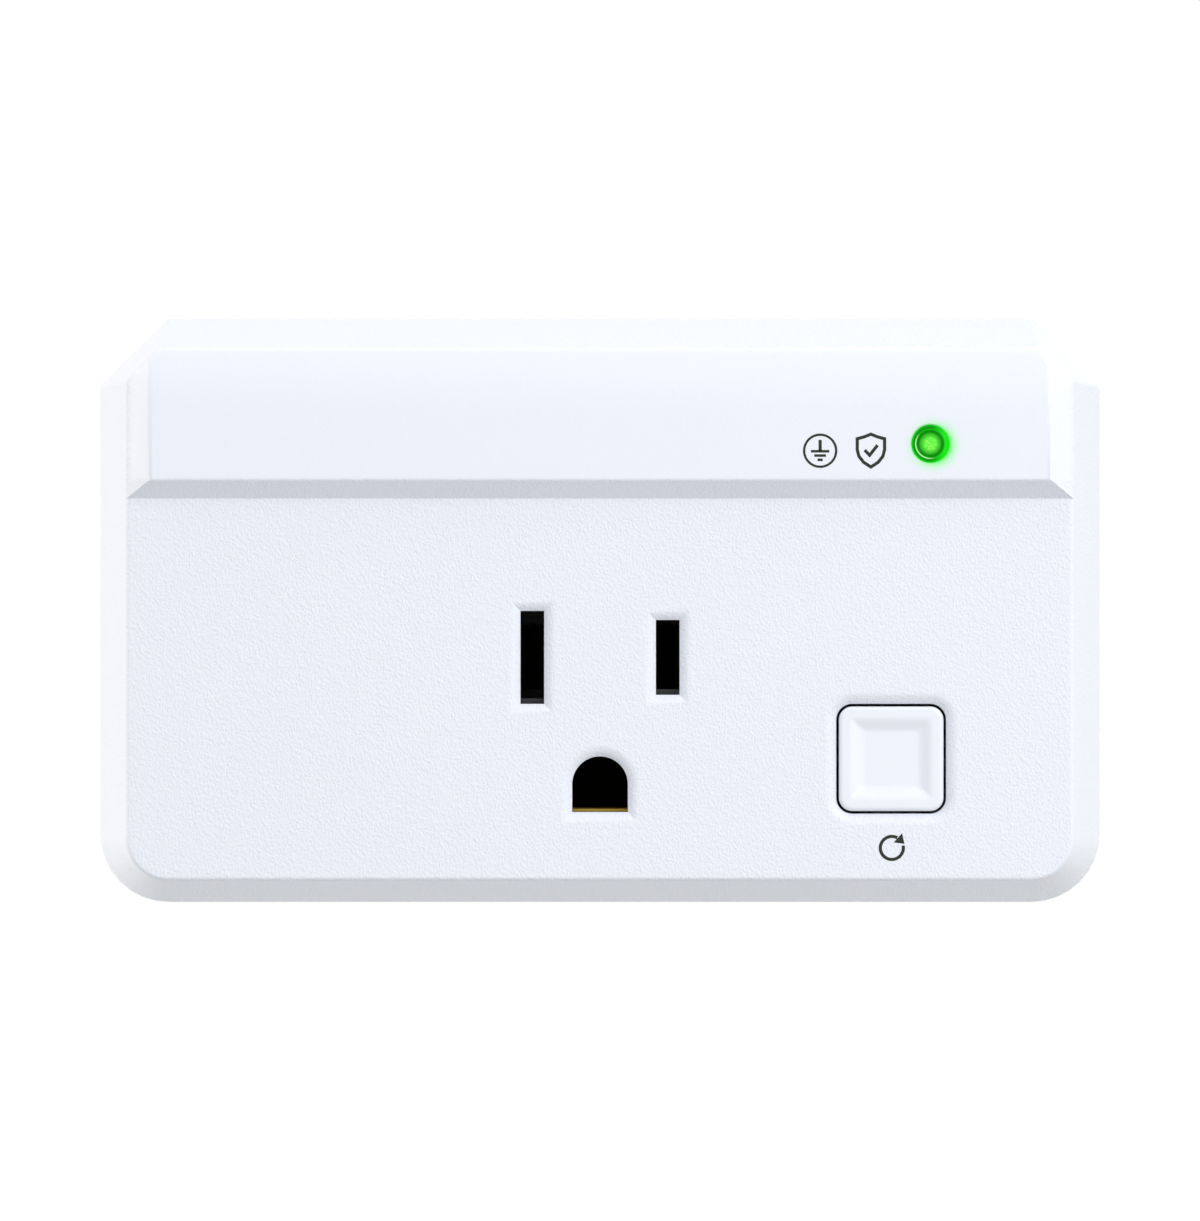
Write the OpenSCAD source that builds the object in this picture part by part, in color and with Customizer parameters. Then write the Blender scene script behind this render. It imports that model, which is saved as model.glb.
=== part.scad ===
// Wall-tap surge protector with one grounded outlet, a status light and a reset button.
// X runs across the face, Z is up, and the wall is the plane Y = 0 with the room on its -Y side.
// "Stand-off" means the distance of a plane from the wall. The blades stand out on the +Y side.

/* [Casing] */
// Width of the casing at the parting line
case_w = 95; // [93:0.5:110]
// Height of the casing at the parting line
case_h = 55.4; // [54.4:0.2:70]
// Stand-off of the outlet panel
panel_out = 30.6; // [30:0.2:38]
// Stand-off of the parting line between the two covers
parting_out = 9; // [8.4:0.2:11]
// Amount that each side wall leans in, from the parting line to the panel
side_draft = 3.1; // [1.5:0.1:3.6]
// Amount that the top wall leans in
top_draft = 2.9; // [1.5:0.1:3.4]
// Amount that the bottom wall leans in
bottom_draft = 2.4; // [1.5:0.1:3.4]
// Amount that the walls of the rear cover lean in, from the parting line to the wall
rear_draft = 0.7; // [0.3:0.1:1]
// Flat cut across each top corner, at the parting line
corner_cut = 6.4; // [5:0.1:7.5]
// Flat cut across each top corner, at the panel
panel_cut = 3.2; // [2.6:0.1:4]
// Radius of each bottom corner, at the parting line
foot_radius = 6.5; // [5:0.1:8]
// Radius of each bottom corner, at the panel
panel_radius = 3.9; // [3:0.1:5]
// Rounding along the moulded front edges
edge_round = 0.4; // [0.3:0.1:0.8]
// Thickness of the side walls and the panel
wall = 2.2; // [1.9:0.1:2.4]
// Thickness of the rear wall
rear_wall = 2.4; // [2.2:0.1:2.8]
// Width and depth of the shadow line at the parting
shadow_line = 0.5; // [0.3:0.1:0.8]
// Height of the lip that aligns the covers
lip_h = 1.5; // [1:0.1:2]
// Thickness of that lip
lip_t = 1; // [0.8:0.1:1.2]
// Distance of the case screws in from each side
screw_inset = 8.1; // [7.8:0.1:9]
// Distance of the upper case screws below the top
screw_drop = 8.9; // [8.4:0.1:10]
// Distance of the lower case screws above the bottom
screw_rise = 8.8; // [8.4:0.1:9.4]

/* [Raised band] */
// Rise of the band above the panel
band_rise = 2.4; // [1.8:0.1:3]
// Height of the foot of its bevel, above the middle of the casing
band_foot = 10.5; // [9.5:0.1:11.5]
// Run of the bevel along the lower edge
band_bevel = 1.75; // [1.2:0.05:2.2]
// Run of the bevels at both ends, which carry on from the side walls
band_end_bevel = 2.2; // [1.6:0.05:2.6]
// Rounding between the band's face and the bevels at its ends
band_end_round = 0.8; // [0.4:0.1:1.2]
// Radius of the curve that turns the face back towards the top
band_curve = 18; // [14:0.5:24]
// Angle through which that curve turns
band_turn = 17; // [10:1:20]
// Rounding where the band meets the top wall
band_top_round = 0.8; // [0.5:0.1:1.2]
// Flat cut across the top corners of the band's face
band_cut = 1.3; // [1:0.1:3]

/* [Outlet] */
// Height of the blades, above the middle of the casing
outlet_z = -4.4; // [-4.6:0.1:-4]
// Width of the blade slots
slot_w = 2.2; // [2:0.1:2.4]
// Height of the line slot
line_slot_h = 7; // [6.8:0.1:7.4]
// Height of the neutral slot
neutral_slot_h = 8.7; // [8.4:0.1:9]
// Width of the ground hole
ground_w = 5.2; // [5.2:0.1:5.4]
// Lead-in bevel around the slots, the ground hole and the button
lead_in = 0.6; // [0.4:0.05:0.9]

/* [Plug] */
// Thickness of a blade
blade_t = 1.5; // [1.4:0.02:1.62]
// Length of a blade beyond the wall plane
blade_len = 17.5; // [16:0.1:18]
// Diameter of the hole through a blade
blade_hole = 3.2; // [3:0.1:3.3]
// Diameter of the ground pin
pin_d = 4.8; // [4.7:0.05:4.85]
// Length of the ground pin beyond the wall plane
pin_len = 20.6; // [20:0.1:21.2]
// Thickness of the plate that clamps the blades
retainer_t = 3; // [2.4:0.1:3.6]
// Width of that plate
retainer_w = 19; // [18:0.1:20]
// Thickness of the shoulders that the plate clamps
shoulder_t = 1.6; // [1.2:0.1:2]

/* [Outlet contacts] */
// Thickness of the contact strip
strip_t = 0.5; // [0.4:0.05:0.6]
// Width of the blade contacts
contact_w = 6; // [5:0.1:6.4]
// Gap between the leaves of a blade contact, at the throat
throat = 1.3; // [1.1:0.05:1.45]
// Width of the contact block
block_w = 22.4; // [22:0.1:25]
// Room for the solder joints between the contact block and the plate that clamps the blades
joint_room = 5.4; // [5.2:0.1:7]
// Thickness of the block's rear cover
block_cover_t = 1.6; // [1.2:0.1:2]

/* [Reset button] */
// Distance of the button in from the right side
button_side = 20.2; // [19.5:0.1:21]
// Height of the button, above the middle of the casing
button_z = -13.9; // [-14.1:0.1:-13]
// Width of the button
button_w = 9.8; // [9:0.1:10.4]
// Gap all round the button
button_gap = 0.24; // [0.15:0.01:0.4]
// Corner radius of the button
button_radius = 1.25; // [0.8:0.05:2]
// Depth of the finger dish
dish_depth = 0.55; // [0.3:0.05:0.9]
// Width of the dish at its rim
dish_w = 7.6; // [6:0.1:8]
// Width of the floor of the dish
dish_floor = 5.2; // [3.6:0.1:5.8]
// Travel of the button when it pops out
pop_out = 2.5; // [2:0.1:3]
// Travel of the button when it is pressed
press_in = 1.2; // [0.8:0.1:1.5]
// Wire of the return spring
spring_wire = 0.5; // [0.4:0.05:0.6]
// Turns of the return spring
spring_turns = 5; // [4:1:6]

/* [Circuit breaker] */
// Width of the breaker
breaker_w = 14; // [13.6:0.1:14.6]
// Height of the breaker
breaker_h = 16; // [15.4:0.1:16.4]
// Depth of the breaker's case
breaker_depth = 14.5; // [14:0.1:15]
// Wall of the breaker's case
breaker_wall = 1.5; // [1.2:0.1:1.7]
// Thickness of its base
breaker_base_t = 2; // [1.6:0.1:2.4]
// Width of its terminals
tab_w = 4.8; // [4:0.1:5]
// Thickness of its terminals
tab_t = 0.8; // [0.6:0.05:1]

/* [Circuit board] */
// Thickness of the board
board_t = 1.6; // [1.2:0.1:1.8]
// Height of the posts that carry it
post_h = 6; // [5.4:0.1:6.4]
// Diameter of a varistor
varistor_d = 15; // [13:0.1:15.4]
// Thickness of a varistor
varistor_t = 4.8; // [4:0.1:5.2]
// Spacing of the varistors
varistor_pitch = 6.6; // [5.6:0.1:7]

/* [Status light] */
// Distance of the light in from the right side
led_side = 16.6; // [15.5:0.1:19]
// Height of the light, above the middle of the casing
led_z = 15.6; // [15:0.1:17]
// Diameter of the light
led_d = 3.3; // [3:0.1:3.6]
// Amount that its dome stands out of the band
led_proud = 0.6; // [0.3:0.1:1]
// Length of the light from flange to dome
led_len = 5.3; // [5:0.1:6]

/* [Hidden] */
$fn = 48;

// Set by the standard for grounded plugs and outlets: blade spacing, drop to the pin, blade width
blade_pitch = 12.7;
ground_drop = 11.89;
blade_w = 6.35;

// Clearances: between seated faces, round a screw's thread, and past a cut's own face
seat = 0.05;
thread_fit = 0.05;
over = 0.1;
sliver = 0.01;

// Stand-offs of the main planes
panel_in = panel_out - wall;
band_out = panel_out + band_rise;
collar_gap = 0.1;
lip_gap = 0.15;
lip_end_gap = 0.3;
arc_steps = 8;
cut_round = 0.8;
cut_shrink = 2 - sqrt(2);

// A rounded outline that stays smooth
function arc(cx, cz, r, from, to, steps = arc_steps) =
    [for (i = [0:steps]) let (a = from + (to - from) * i / steps) [cx + r * cos(a), cz + r * sin(a)]];
function rounded_rect(w, h, r) = concat(
    arc(w / 2 - r, r - h / 2, r, -90, 0), arc(w / 2 - r, h / 2 - r, r, 0, 90),
    arc(r - w / 2, h / 2 - r, r, 90, 180), arc(r - w / 2, r - h / 2, r, 180, 270));

// Carries a front-view outline (X across, Z up) from stand-off a to stand-off b
module slab(a, b) {
    translate([0, -a, 0]) rotate([90, 0, 0]) linear_extrude(b - a) children();
}

// Turns what is drawn along +Z away from the wall, at a point of the front view
module outward(x, z, a) {
    translate([x, -a, z]) rotate([90, 0, 0]) children();
}

module rod(x, z, a, b, r) {
    outward(x, z, a) cylinder(h = b - a, r = r);
}

module block(x0, x1, z0, z1, a, b) {
    translate([x0, -b, z0]) cube([x1 - x0, b - a, z1 - z0]);
}

// A pan-headed screw whose head seats at stand-off a and points to stand-off b
module pan_screw(x, z, a, b, shank_r, head_r, head_h) {
    head = b > a ? [a - head_h, a] : [a, a + head_h];
    recess = b > a ? [head[0] - over, a - head_h / 2] : [a + head_h / 2, head[1] + over];
    difference() {
        union() {
            rod(x, z, min(a, b), max(a, b), shank_r);
            rod(x, z, head[0], head[1], head_r);
        }
        for (turn = [0, 90])
            slab(recess[0], recess[1]) translate([x, z]) rotate(turn)
                square([head_r * 1.2, head_r * 0.28], center = true);
    }
}

// Outline of the casing, pulled in from its size at the parting line
function case_points(side, top, bottom, cut, r) =
    let (hx = case_w / 2 - side, zt = case_h / 2 - top, zb = bottom - case_h / 2,
         s = cut_round, k = s * tan(22.5))
    concat(
        arc(hx - r, zb + r, r, -90, 0),
        arc(hx - s, zt - cut - k, s, 0, 45, 3), arc(hx - cut - k, zt - s, s, 45, 90, 3),
        arc(cut + k - hx, zt - s, s, 90, 135, 3), arc(s - hx, zt - cut - k, s, 135, 180, 3),
        arc(r - hx, zb + r, r, 180, 270));

// Section of the front cover at a stand-off, pulled in by e all round
function lean(t) = (t - parting_out) / (panel_out - parting_out);
function section(t, e) = let (f = lean(t)) case_points(
    side_draft * f + e, top_draft * f + e, bottom_draft * f + e,
    corner_cut + (panel_cut - corner_cut) * f - e * cut_shrink,
    foot_radius + (panel_radius - foot_radius) * f - e);
// Section of the rear cover, which leans in towards the wall
function rear_section(t, e) = let (i = rear_draft * (1 - t / parting_out) + e) case_points(
    i, i, i, corner_cut - i * cut_shrink, foot_radius - i);

// Case screws, with a tower on the rear cover and a boss on the front cover for each
screw_x = case_w / 2 - screw_inset;
screw_top = case_h / 2 - screw_drop;
screw_bottom = screw_rise - case_h / 2;
screw_r = 1.5;
screw_hole_fit = 0.25;
screw_head_r = 2.8;
screw_head_h = 2;
screw_reach = 17;
screw_spare = 1;
tower_r = 4;
boss_r = 3;
counterbore_r = 3.1;
counterbore_depth = 5;
case_screw_places = [for (sx = [-1, 1]) for (z = [screw_top, screw_bottom]) [sx * screw_x, z]];

// Small screws, the posts they drive into, and the room round them in what they hold
small_screw_r = 1.25;
small_hole_fit = 0.15;
small_head_r = 2.2;
small_head_h = 1.4;
post_r = 2.6;

// Plug: blades, ground pin and the plate that clamps them
line_x = blade_pitch / 2;
ground_z = outlet_z - ground_drop;
blade_tip = 1.6;
blade_hole_y = 11.7;
shoulder_reach = 1.6;
root_r = pin_d / 2 + 0.3;
flange_reach = 0.9;
pin_nose = 1.8;
tab_side = 1.8;
tail_w = 2.6;
tail_len = 2.6;
blade_fit = 0.1;
clamp_out = rear_wall + shoulder_t;
retainer_out = clamp_out + retainer_t;
blade_tab_out = retainer_out + tail_len;
retainer_above = 6.2;
retainer_below = 4.6;
retainer_corner = 2;
retainer_screw_places = let (side = 6, z = outlet_z - 8.6)
    [[0, outlet_z + 3.2], [-side, z], [side, z]];
post_hole_floor = 0.8;

// Contact block, which three screws hold against the panel
block_cover_out = retainer_out + joint_room;
block_out = block_cover_out + block_cover_t;
block_top = outlet_z + 8.4;
block_bottom = ground_z - 5;
block_corner = 1;
block_front_t = 2;
block_step = 0.5;
block_boss_h = 4.4;
block_boss_r = 2.4;
block_boss_fit = 0.1;
block_screw_places = let (side = 7.6, z = ground_z - 0.7)
    [[0, outlet_z + 4.9], [-side, z], [side, z]];
contact_pocket_w = 5.4;
contact_pocket_gap = 0.3;
ground_pocket = [6.4, 8];
contact_mouth = panel_in - block_front_t - 0.4;
contact_base = block_out + seat;
contact_depth = contact_mouth - contact_base;
contact_tab_out = block_cover_out - tail_len;
contact_base_gap = 1.5;
contact_flare = 1.7;
ground_contact_w = 5.6;
ground_grip = 0.2;
ground_flare = 0.05;

// Breaker
button_x = case_w / 2 - button_side;
pad_h = 0.6;
pad_w = 3;
pad_inset = 2.5;
fence_t = 1.2;
fence_gap = 0.15;
fence_len = 10;
breaker_out = rear_wall + pad_h;
breaker_inside = breaker_out + breaker_base_t;
breaker_front = breaker_inside + breaker_depth;
breaker_x0 = button_x - breaker_w / 2;
breaker_x1 = button_x + breaker_w / 2;
breaker_z0 = button_z - breaker_h / 2;
breaker_z1 = button_z + breaker_h / 2;
tab_z = button_z + 3.6;
tab_reach = 5;
tab_lift = 0.1;
plunger_r = 1.7;
plunger_fit = 0.1;
plunger_collar = 1.5;
plunger_proud = 0.3;
plunger_tip = breaker_front + plunger_proud;
arm_lift = 2.7;
arm_out = breaker_inside + arm_lift;
contact_r = 1.1;
contact_side = 2.6;

// Button
hole_w = button_w + 2 * button_gap;
hole_radius = button_radius + button_gap;
button_top = panel_out - 0.1;
button_skin = 1.6;
skirt_t = 1.2;
skirt_radius = 0.6;
flange_t = 1.2;
flange_side = 0.9;
rest_gap = 0.3;
flange_w = button_w + 2 * flange_side;
flange_out = breaker_front + press_in + rest_gap;
collar_out = flange_out + flange_t + pop_out + rest_gap;
collar_wall = 1.5;
collar_w = hole_w + 2 * collar_wall;
rib_t = 1.4;
rib_len = 8;
button_under = button_top - dish_depth - button_skin;
stem_r = plunger_r - 0.1;
stem_tip = plunger_tip + seat;
spring_r = 2.75;

// Circuit board and what stands on it
board_out = rear_wall + post_h;
board_front = board_out + board_t;
board_left = 6.5 - case_w / 2;
board_right = case_w / 2 - 12.6;
board_top = case_h / 2 - 4.2;
board_step = 6;
board_foot = screw_bottom + tower_r + 0.4;
board_waist = -15;
board_notch = [tower_r + 0.5 - screw_x, screw_top - tower_r - 1];
board_screw_grip = 4;
board_screw_places = [
    [board_left + 3.2, board_notch[1] - 4.4], [board_waist - 3.6, board_foot + 2.8],
    [board_right - 3.6, board_step + 3.2]
];
lead_r = 0.3;
lead_tail = 1;
lead_out = board_out - lead_tail;
lead_hole = 0.1;
varistor_z = -4.6;
varistor_lift = 1.4;
varistor_x = (board_left + board_waist) / 2 - 2.2 - varistor_pitch;
varistor_leg = 3.75;
axial_tail = 2;
fuse_r = 1.9;
fuse_len = 9;
fuse_place = [board_left + 12, board_notch[1] - 7.2];
fuse_out = board_front + 3;
capacitor_place = [-20, board_top - 6.9];
capacitor_size = [15, 12, 6.5];
capacitor_corner = 0.6;
capacitor_leg = 5;
resistor_r = 1.2;
resistor_len = 6.4;
led_resistor_place = [-3, board_top - 3.9];
bleed_r = 1.4;
bleed_len = 6.8;
bleed_resistor_place = [-3, board_top - 9.3];
diode_r = 1.3;
diode_len = 5.2;
diode_place = [11.5, board_top - 3.9];
axial_gap = 0.3;
axial_leg = 5.2;

// Status light
led_x = case_w / 2 - led_side;
led_flange_out = band_out + led_proud - led_len;
led_flange_r = led_d / 2 + 0.4;
led_flange_t = 1;
led_leg = 1.27;
led_fit = 0.1;
spacer_side = 0.2;

// Leads: outer diameters of the heavy and the light ones, with routes as [x, stand-off, z]
heavy_lead = 2.4;
light_lead = 1.6;
lead_sides = 8;
lead_rings = 4;

// CASING

module outer_shell() {
    hull() {
        slab(parting_out, parting_out + sliver) polygon(section(parting_out, 0));
        for (a = [0:22.5:90])
            let (t = panel_out - edge_round * (1 - sin(a)))
                slab(t - sliver, t) polygon(section(t, edge_round * (1 - cos(a))));
    }
}

// Profile of the band's face, as [height, stand-off], from the flat round to the top wall
band_inset = 0.05;
band_half = case_w / 2 - side_draft - band_inset - band_end_bevel;
band_low = band_foot + band_bevel;
band_peak = case_h / 2 - top_draft - 0.1;
band_bend = band_peak - band_top_round * sin(84)
    - (band_curve - band_top_round) * sin(band_turn);
band_profile = concat(
    [for (i = [0:4]) let (a = band_turn * i / 4)
        [band_bend + band_curve * sin(a), band_out - band_curve * (1 - cos(a))]],
    [for (i = [1:4]) let (a = band_turn + (84 - band_turn) * i / 4)
        [band_bend + (band_curve - band_top_round) * sin(band_turn) + band_top_round * sin(a),
         band_out - band_curve + (band_curve - band_top_round) * cos(band_turn)
            + band_top_round * cos(a)]]);
low_edge = [edge_round, atan(band_rise / band_bevel)];
end_edge = [band_end_round, atan(band_rise / band_end_bevel)];

// Growth of the band's outline at a drop below its face, past an edge given as [radius, bevel's angle]
function band_growth(edge, drop) = let (r = edge[0], angle = edge[1])
    drop < r * (1 - cos(angle)) ? r * (sin(acos(1 - drop / r)) - tan(angle / 2))
        : drop / tan(angle);
// Outline of the band at one height of its face, grown by low on its lower edge and side at its ends
function band_points(top, low, side, cut) =
    let (h = band_half + side, c = max(0, top - band_peak + cut))
    [[-h, band_low - low], [h, band_low - low], [h, top - c], [h - c, top], [c - h, top],
     [-h, top - c]];

module band() {
    hull() {
        slab(panel_out - edge_round, panel_out)
            polygon(band_points(band_peak, band_bevel, band_end_bevel, panel_cut - band_inset));
        for (p = band_profile)
            for (edge = [low_edge, end_edge])
                for (a = [0:0.25:1])
                    let (drop = edge[0] * (1 - cos(a * edge[1])), t = p[1] - drop)
                        slab(t - sliver, t)
                            polygon(band_points(p[0], band_growth(low_edge, drop),
                                                band_growth(end_edge, drop), band_cut));
    }
}

// Cuts a hole through the panel and bevels its mouth
module lead_in_cut(small, large) {
    slab(panel_in - over, panel_out + over) polygon(small);
    hull() {
        slab(panel_out - lead_in, panel_out - lead_in + sliver) polygon(small);
        slab(panel_out, panel_out + sliver) polygon(large);
    }
}

function slot_points(x, h, e) =
    [[x - slot_w / 2 - e, outlet_z - h / 2 - e], [x + slot_w / 2 + e, outlet_z - h / 2 - e],
     [x + slot_w / 2 + e, outlet_z + h / 2 + e], [x - slot_w / 2 - e, outlet_z + h / 2 + e]];
function ground_points(e) = let (r = ground_w / 2 + e)
    concat(arc(0, ground_z, r, 0, 180, 16), [[-r, ground_z - r], [r, ground_z - r]]);
function button_points(w, r) = [for (p = rounded_rect(w, w, r)) p + [button_x, button_z]];

module front_bosses() {
    for (p = case_screw_places)
        rod(p[0], p[1], parting_out + collar_gap, panel_in + over, boss_r);
    for (p = block_screw_places)
        rod(p[0], p[1], panel_in - block_boss_h, panel_in + over, block_boss_r);
    slab(collar_out, panel_in + over) polygon(button_points(collar_w, hole_radius + collar_wall));
    for (side = [-1, 1])
        translate([0, 0, button_z + side * (collar_w / 2 + rib_t / 2 - over)])
            block(button_x - rib_len / 2, button_x + rib_len / 2, -rib_t / 2, rib_t / 2,
                  breaker_front + collar_gap, panel_in + over);
}

module band_pocket() {
    side = screw_x - boss_r - 0.4;
    block(-side, side, band_low + 0.8, band_bend + 3.4, panel_in - over, band_out - wall);
}

module front_cover() {
    color([0.90, 0.92, 0.96])
    difference() {
        union() {
            difference() {
                union() {
                    outer_shell();
                    band();
                }
                hull() {
                    slab(parting_out - over, parting_out) polygon(section(parting_out, wall));
                    slab(panel_in - sliver, panel_in) polygon(section(panel_in, wall));
                }
                slab(parting_out - over, parting_out + lip_h + lip_end_gap)
                    polygon(section(parting_out, wall - lip_t - lip_gap));
                band_pocket();
            }
            front_bosses();
        }
        for (p = case_screw_places)
            rod(p[0], p[1], parting_out, screw_reach + screw_spare, screw_r + thread_fit);
        for (p = block_screw_places)
            rod(p[0], p[1], block_cover_out, panel_in - 0.4, small_screw_r + thread_fit);
        lead_in_cut(slot_points(line_x, line_slot_h, 0), slot_points(line_x, line_slot_h, lead_in));
        lead_in_cut(slot_points(-line_x, neutral_slot_h, 0),
                    slot_points(-line_x, neutral_slot_h, lead_in));
        lead_in_cut(ground_points(0), ground_points(lead_in));
        lead_in_cut(button_points(hole_w, hole_radius),
                    button_points(hole_w + 2 * lead_in, hole_radius + lead_in));
        slab(collar_out - over, panel_in) polygon(button_points(hole_w, hole_radius));
        rod(led_x, led_z, panel_in - over, band_out + over, led_d / 2 + led_fit);
    }
}

module rear_towers() {
    for (p = case_screw_places)
        rod(p[0], p[1], rear_wall - over, parting_out, tower_r);
    for (p = board_screw_places)
        rod(p[0], p[1], rear_wall - over, board_out, post_r);
    for (p = retainer_screw_places)
        rod(p[0], p[1], rear_wall - over, clamp_out, post_r);
    for (sx = [-1, 1])
        for (sz = [-1, 1])
            translate([button_x + sx * (breaker_w / 2 - pad_inset), 0,
                       button_z + sz * (breaker_h / 2 - pad_inset)])
                block(-pad_w / 2, pad_w / 2, -pad_w / 2, pad_w / 2, rear_wall - over, breaker_out);
    for (side = [-1, 1])
        translate([button_x, 0, button_z + side * (breaker_h / 2 + fence_gap + fence_t / 2)])
            block(-fence_len / 2, fence_len / 2, -fence_t / 2, fence_t / 2, rear_wall - over,
                  breaker_inside + 2);
}

module rear_cover() {
    color([0.93, 0.93, 0.94])
    difference() {
        union() {
            difference() {
                union() {
                    hull() {
                        slab(0, sliver) polygon(rear_section(0, edge_round));
                        slab(edge_round, edge_round + sliver) polygon(rear_section(edge_round, 0));
                        slab(parting_out - shadow_line - sliver, parting_out - shadow_line)
                            polygon(rear_section(parting_out - shadow_line, 0));
                    }
                    slab(parting_out - shadow_line - sliver, parting_out)
                        polygon(rear_section(parting_out, shadow_line));
                    slab(parting_out - over, parting_out + lip_h)
                        polygon(rear_section(parting_out, wall - lip_t));
                }
                slab(rear_wall, parting_out + lip_h + over) polygon(rear_section(parting_out, wall));
            }
            rear_towers();
        }
        for (p = case_screw_places) {
            rod(p[0], p[1], -over, counterbore_depth, counterbore_r);
            rod(p[0], p[1], 0, parting_out + over, screw_r + screw_hole_fit);
        }
        for (p = board_screw_places)
            rod(p[0], p[1], board_out - board_screw_grip - screw_spare, board_out + over,
                small_screw_r + thread_fit);
        for (p = retainer_screw_places)
            rod(p[0], p[1], post_hole_floor, clamp_out + over, small_screw_r + thread_fit);
        for (x = [-line_x, line_x])
            block(x - blade_t / 2 - blade_fit, x + blade_t / 2 + blade_fit,
                  outlet_z - blade_w / 2 - blade_fit, outlet_z + blade_w / 2 + blade_fit,
                  -over, rear_wall + over);
        rod(0, ground_z, -over, rear_wall + over, root_r + blade_fit);
    }
}

module case_screws() {
    color([0.62, 0.63, 0.65])
    for (p = case_screw_places)
        pan_screw(p[0], p[1], counterbore_depth, screw_reach, screw_r, screw_head_r, screw_head_h);
}

// PLUG

module blade(x) {
    half = blade_w / 2;
    difference() {
        union() {
            translate([x - blade_t / 2, 0, outlet_z]) rotate([0, 90, 0])
                linear_extrude(blade_t) polygon([
                    [-half, -rear_wall - over], [half, -rear_wall - over],
                    [half, blade_len - blade_tip], [half - blade_tip, blade_len],
                    [blade_tip - half, blade_len], [-half, blade_len - blade_tip]]);
            block(x - blade_t / 2, x + blade_t / 2, outlet_z - half - shoulder_reach,
                  outlet_z + half + shoulder_reach, rear_wall + seat, clamp_out - seat);
            block(x - blade_t / 2, x + blade_t / 2, outlet_z - tab_side - tail_w / 2,
                  outlet_z - tab_side + tail_w / 2, rear_wall, blade_tab_out);
        }
        translate([x - blade_t, blade_hole_y, outlet_z]) rotate([0, 90, 0])
            cylinder(h = 2 * blade_t, d = blade_hole);
    }
}

module line_blade() {
    color([0.80, 0.76, 0.66]) blade(line_x);
}

module neutral_blade() {
    color([0.80, 0.76, 0.66]) blade(-line_x);
}

module ground_pin() {
    r = pin_d / 2;
    color([0.80, 0.76, 0.66]) {
        translate([0, 0, ground_z]) rotate([-90, 0, 0]) rotate_extrude()
            polygon([[0, seat - clamp_out], [root_r + flange_reach, seat - clamp_out],
                     [root_r + flange_reach, -rear_wall - seat], [root_r, -rear_wall - seat],
                     [root_r, 0],
                     [r, 0], [r, pin_len - pin_nose], [r - 0.35, pin_len - pin_nose / 2],
                     [r - 1, pin_len - 0.25], [r - 1.6, pin_len], [0, pin_len]]);
        block(-blade_t / 2, blade_t / 2, ground_z - tab_side - tail_w / 2,
              ground_z - tab_side + tail_w / 2, clamp_out - seat - over, blade_tab_out);
    }
}

module blade_retainer() {
    top = outlet_z + retainer_above;
    bottom = ground_z - retainer_below;
    color([0.12, 0.12, 0.13])
    difference() {
        slab(clamp_out, retainer_out) translate([0, (top + bottom) / 2])
            polygon(rounded_rect(retainer_w, top - bottom, retainer_corner));
        for (x = [-line_x, 0, line_x])
            let (z = (x == 0 ? ground_z : outlet_z) - tab_side)
                block(x - blade_t / 2 - blade_fit, x + blade_t / 2 + blade_fit,
                      z - tail_w / 2 - blade_fit, z + tail_w / 2 + blade_fit,
                      clamp_out - over, retainer_out + over);
        for (p = retainer_screw_places)
            rod(p[0], p[1], clamp_out - over, retainer_out + over, small_screw_r + small_hole_fit);
    }
}

module retainer_screws() {
    color([0.62, 0.63, 0.65])
    for (p = retainer_screw_places)
        pan_screw(p[0], p[1], retainer_out, post_hole_floor + thread_fit,
                  small_screw_r, small_head_r, small_head_h);
}

// OUTLET CONTACTS

module block_body(a, b) {
    slab(a, b) translate([0, (block_top + block_bottom) / 2])
        polygon(rounded_rect(block_w, block_top - block_bottom, block_corner));
}

// The block's slots are shorter than the panel's by a step at the bottom
module contact_block() {
    pocket_out = panel_in - block_front_t;
    color([0.07, 0.07, 0.075])
    difference() {
        block_body(block_out, panel_in - seat);
        for (p = block_screw_places) {
            rod(p[0], p[1], block_out - over, panel_in, small_screw_r + small_hole_fit);
            rod(p[0], p[1], panel_in - block_boss_h - block_boss_fit, panel_in,
                block_boss_r + block_boss_fit);
        }
        for (s = [[line_x, line_slot_h], [-line_x, neutral_slot_h]]) {
            block(s[0] - contact_pocket_w / 2, s[0] + contact_pocket_w / 2,
                  outlet_z - s[1] / 2 - contact_pocket_gap, outlet_z + s[1] / 2 + contact_pocket_gap,
                  block_out - over, pocket_out);
            block(s[0] - slot_w / 2, s[0] + slot_w / 2, outlet_z - s[1] / 2 + block_step,
                  outlet_z + s[1] / 2, pocket_out - over, panel_in);
        }
        block(-ground_pocket[0] / 2, ground_pocket[0] / 2, ground_z - ground_pocket[1] / 2,
              ground_z + ground_pocket[1] / 2, block_out - over, pocket_out);
        slab(pocket_out - over, panel_in) polygon(ground_points(0));
    }
}

module contact_cover() {
    color([0.07, 0.07, 0.075])
    difference() {
        block_body(block_cover_out, block_out - seat);
        for (p = block_screw_places)
            rod(p[0], p[1], block_cover_out - over, block_out, small_screw_r + small_hole_fit);
        for (x = [-line_x, 0, line_x])
            let (z = (x == 0 ? ground_z : outlet_z) + tab_side)
                block(x - strip_t / 2 - blade_fit, x + strip_t / 2 + blade_fit,
                      z - tail_w / 2 - blade_fit, z + tail_w / 2 + blade_fit,
                      block_cover_out - over, block_out);
    }
}

module contact_screws() {
    color([0.62, 0.63, 0.65])
    for (p = block_screw_places)
        pan_screw(p[0], p[1], block_cover_out, panel_in - 0.8,
                  small_screw_r, small_head_r, small_head_h);
}

// Half-gap of a sprung leaf from base to mouth, as [half-gap, share of the depth]
function leaf(gap, base, mouth) =
    [[base, 0], [base, 0.28], [gap * 0.25 + base * 0.75, 0.42], [gap * 1.1, 0.72], [gap, 0.8],
     [gap * 1.1, 0.87], [mouth, 1]];

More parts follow.
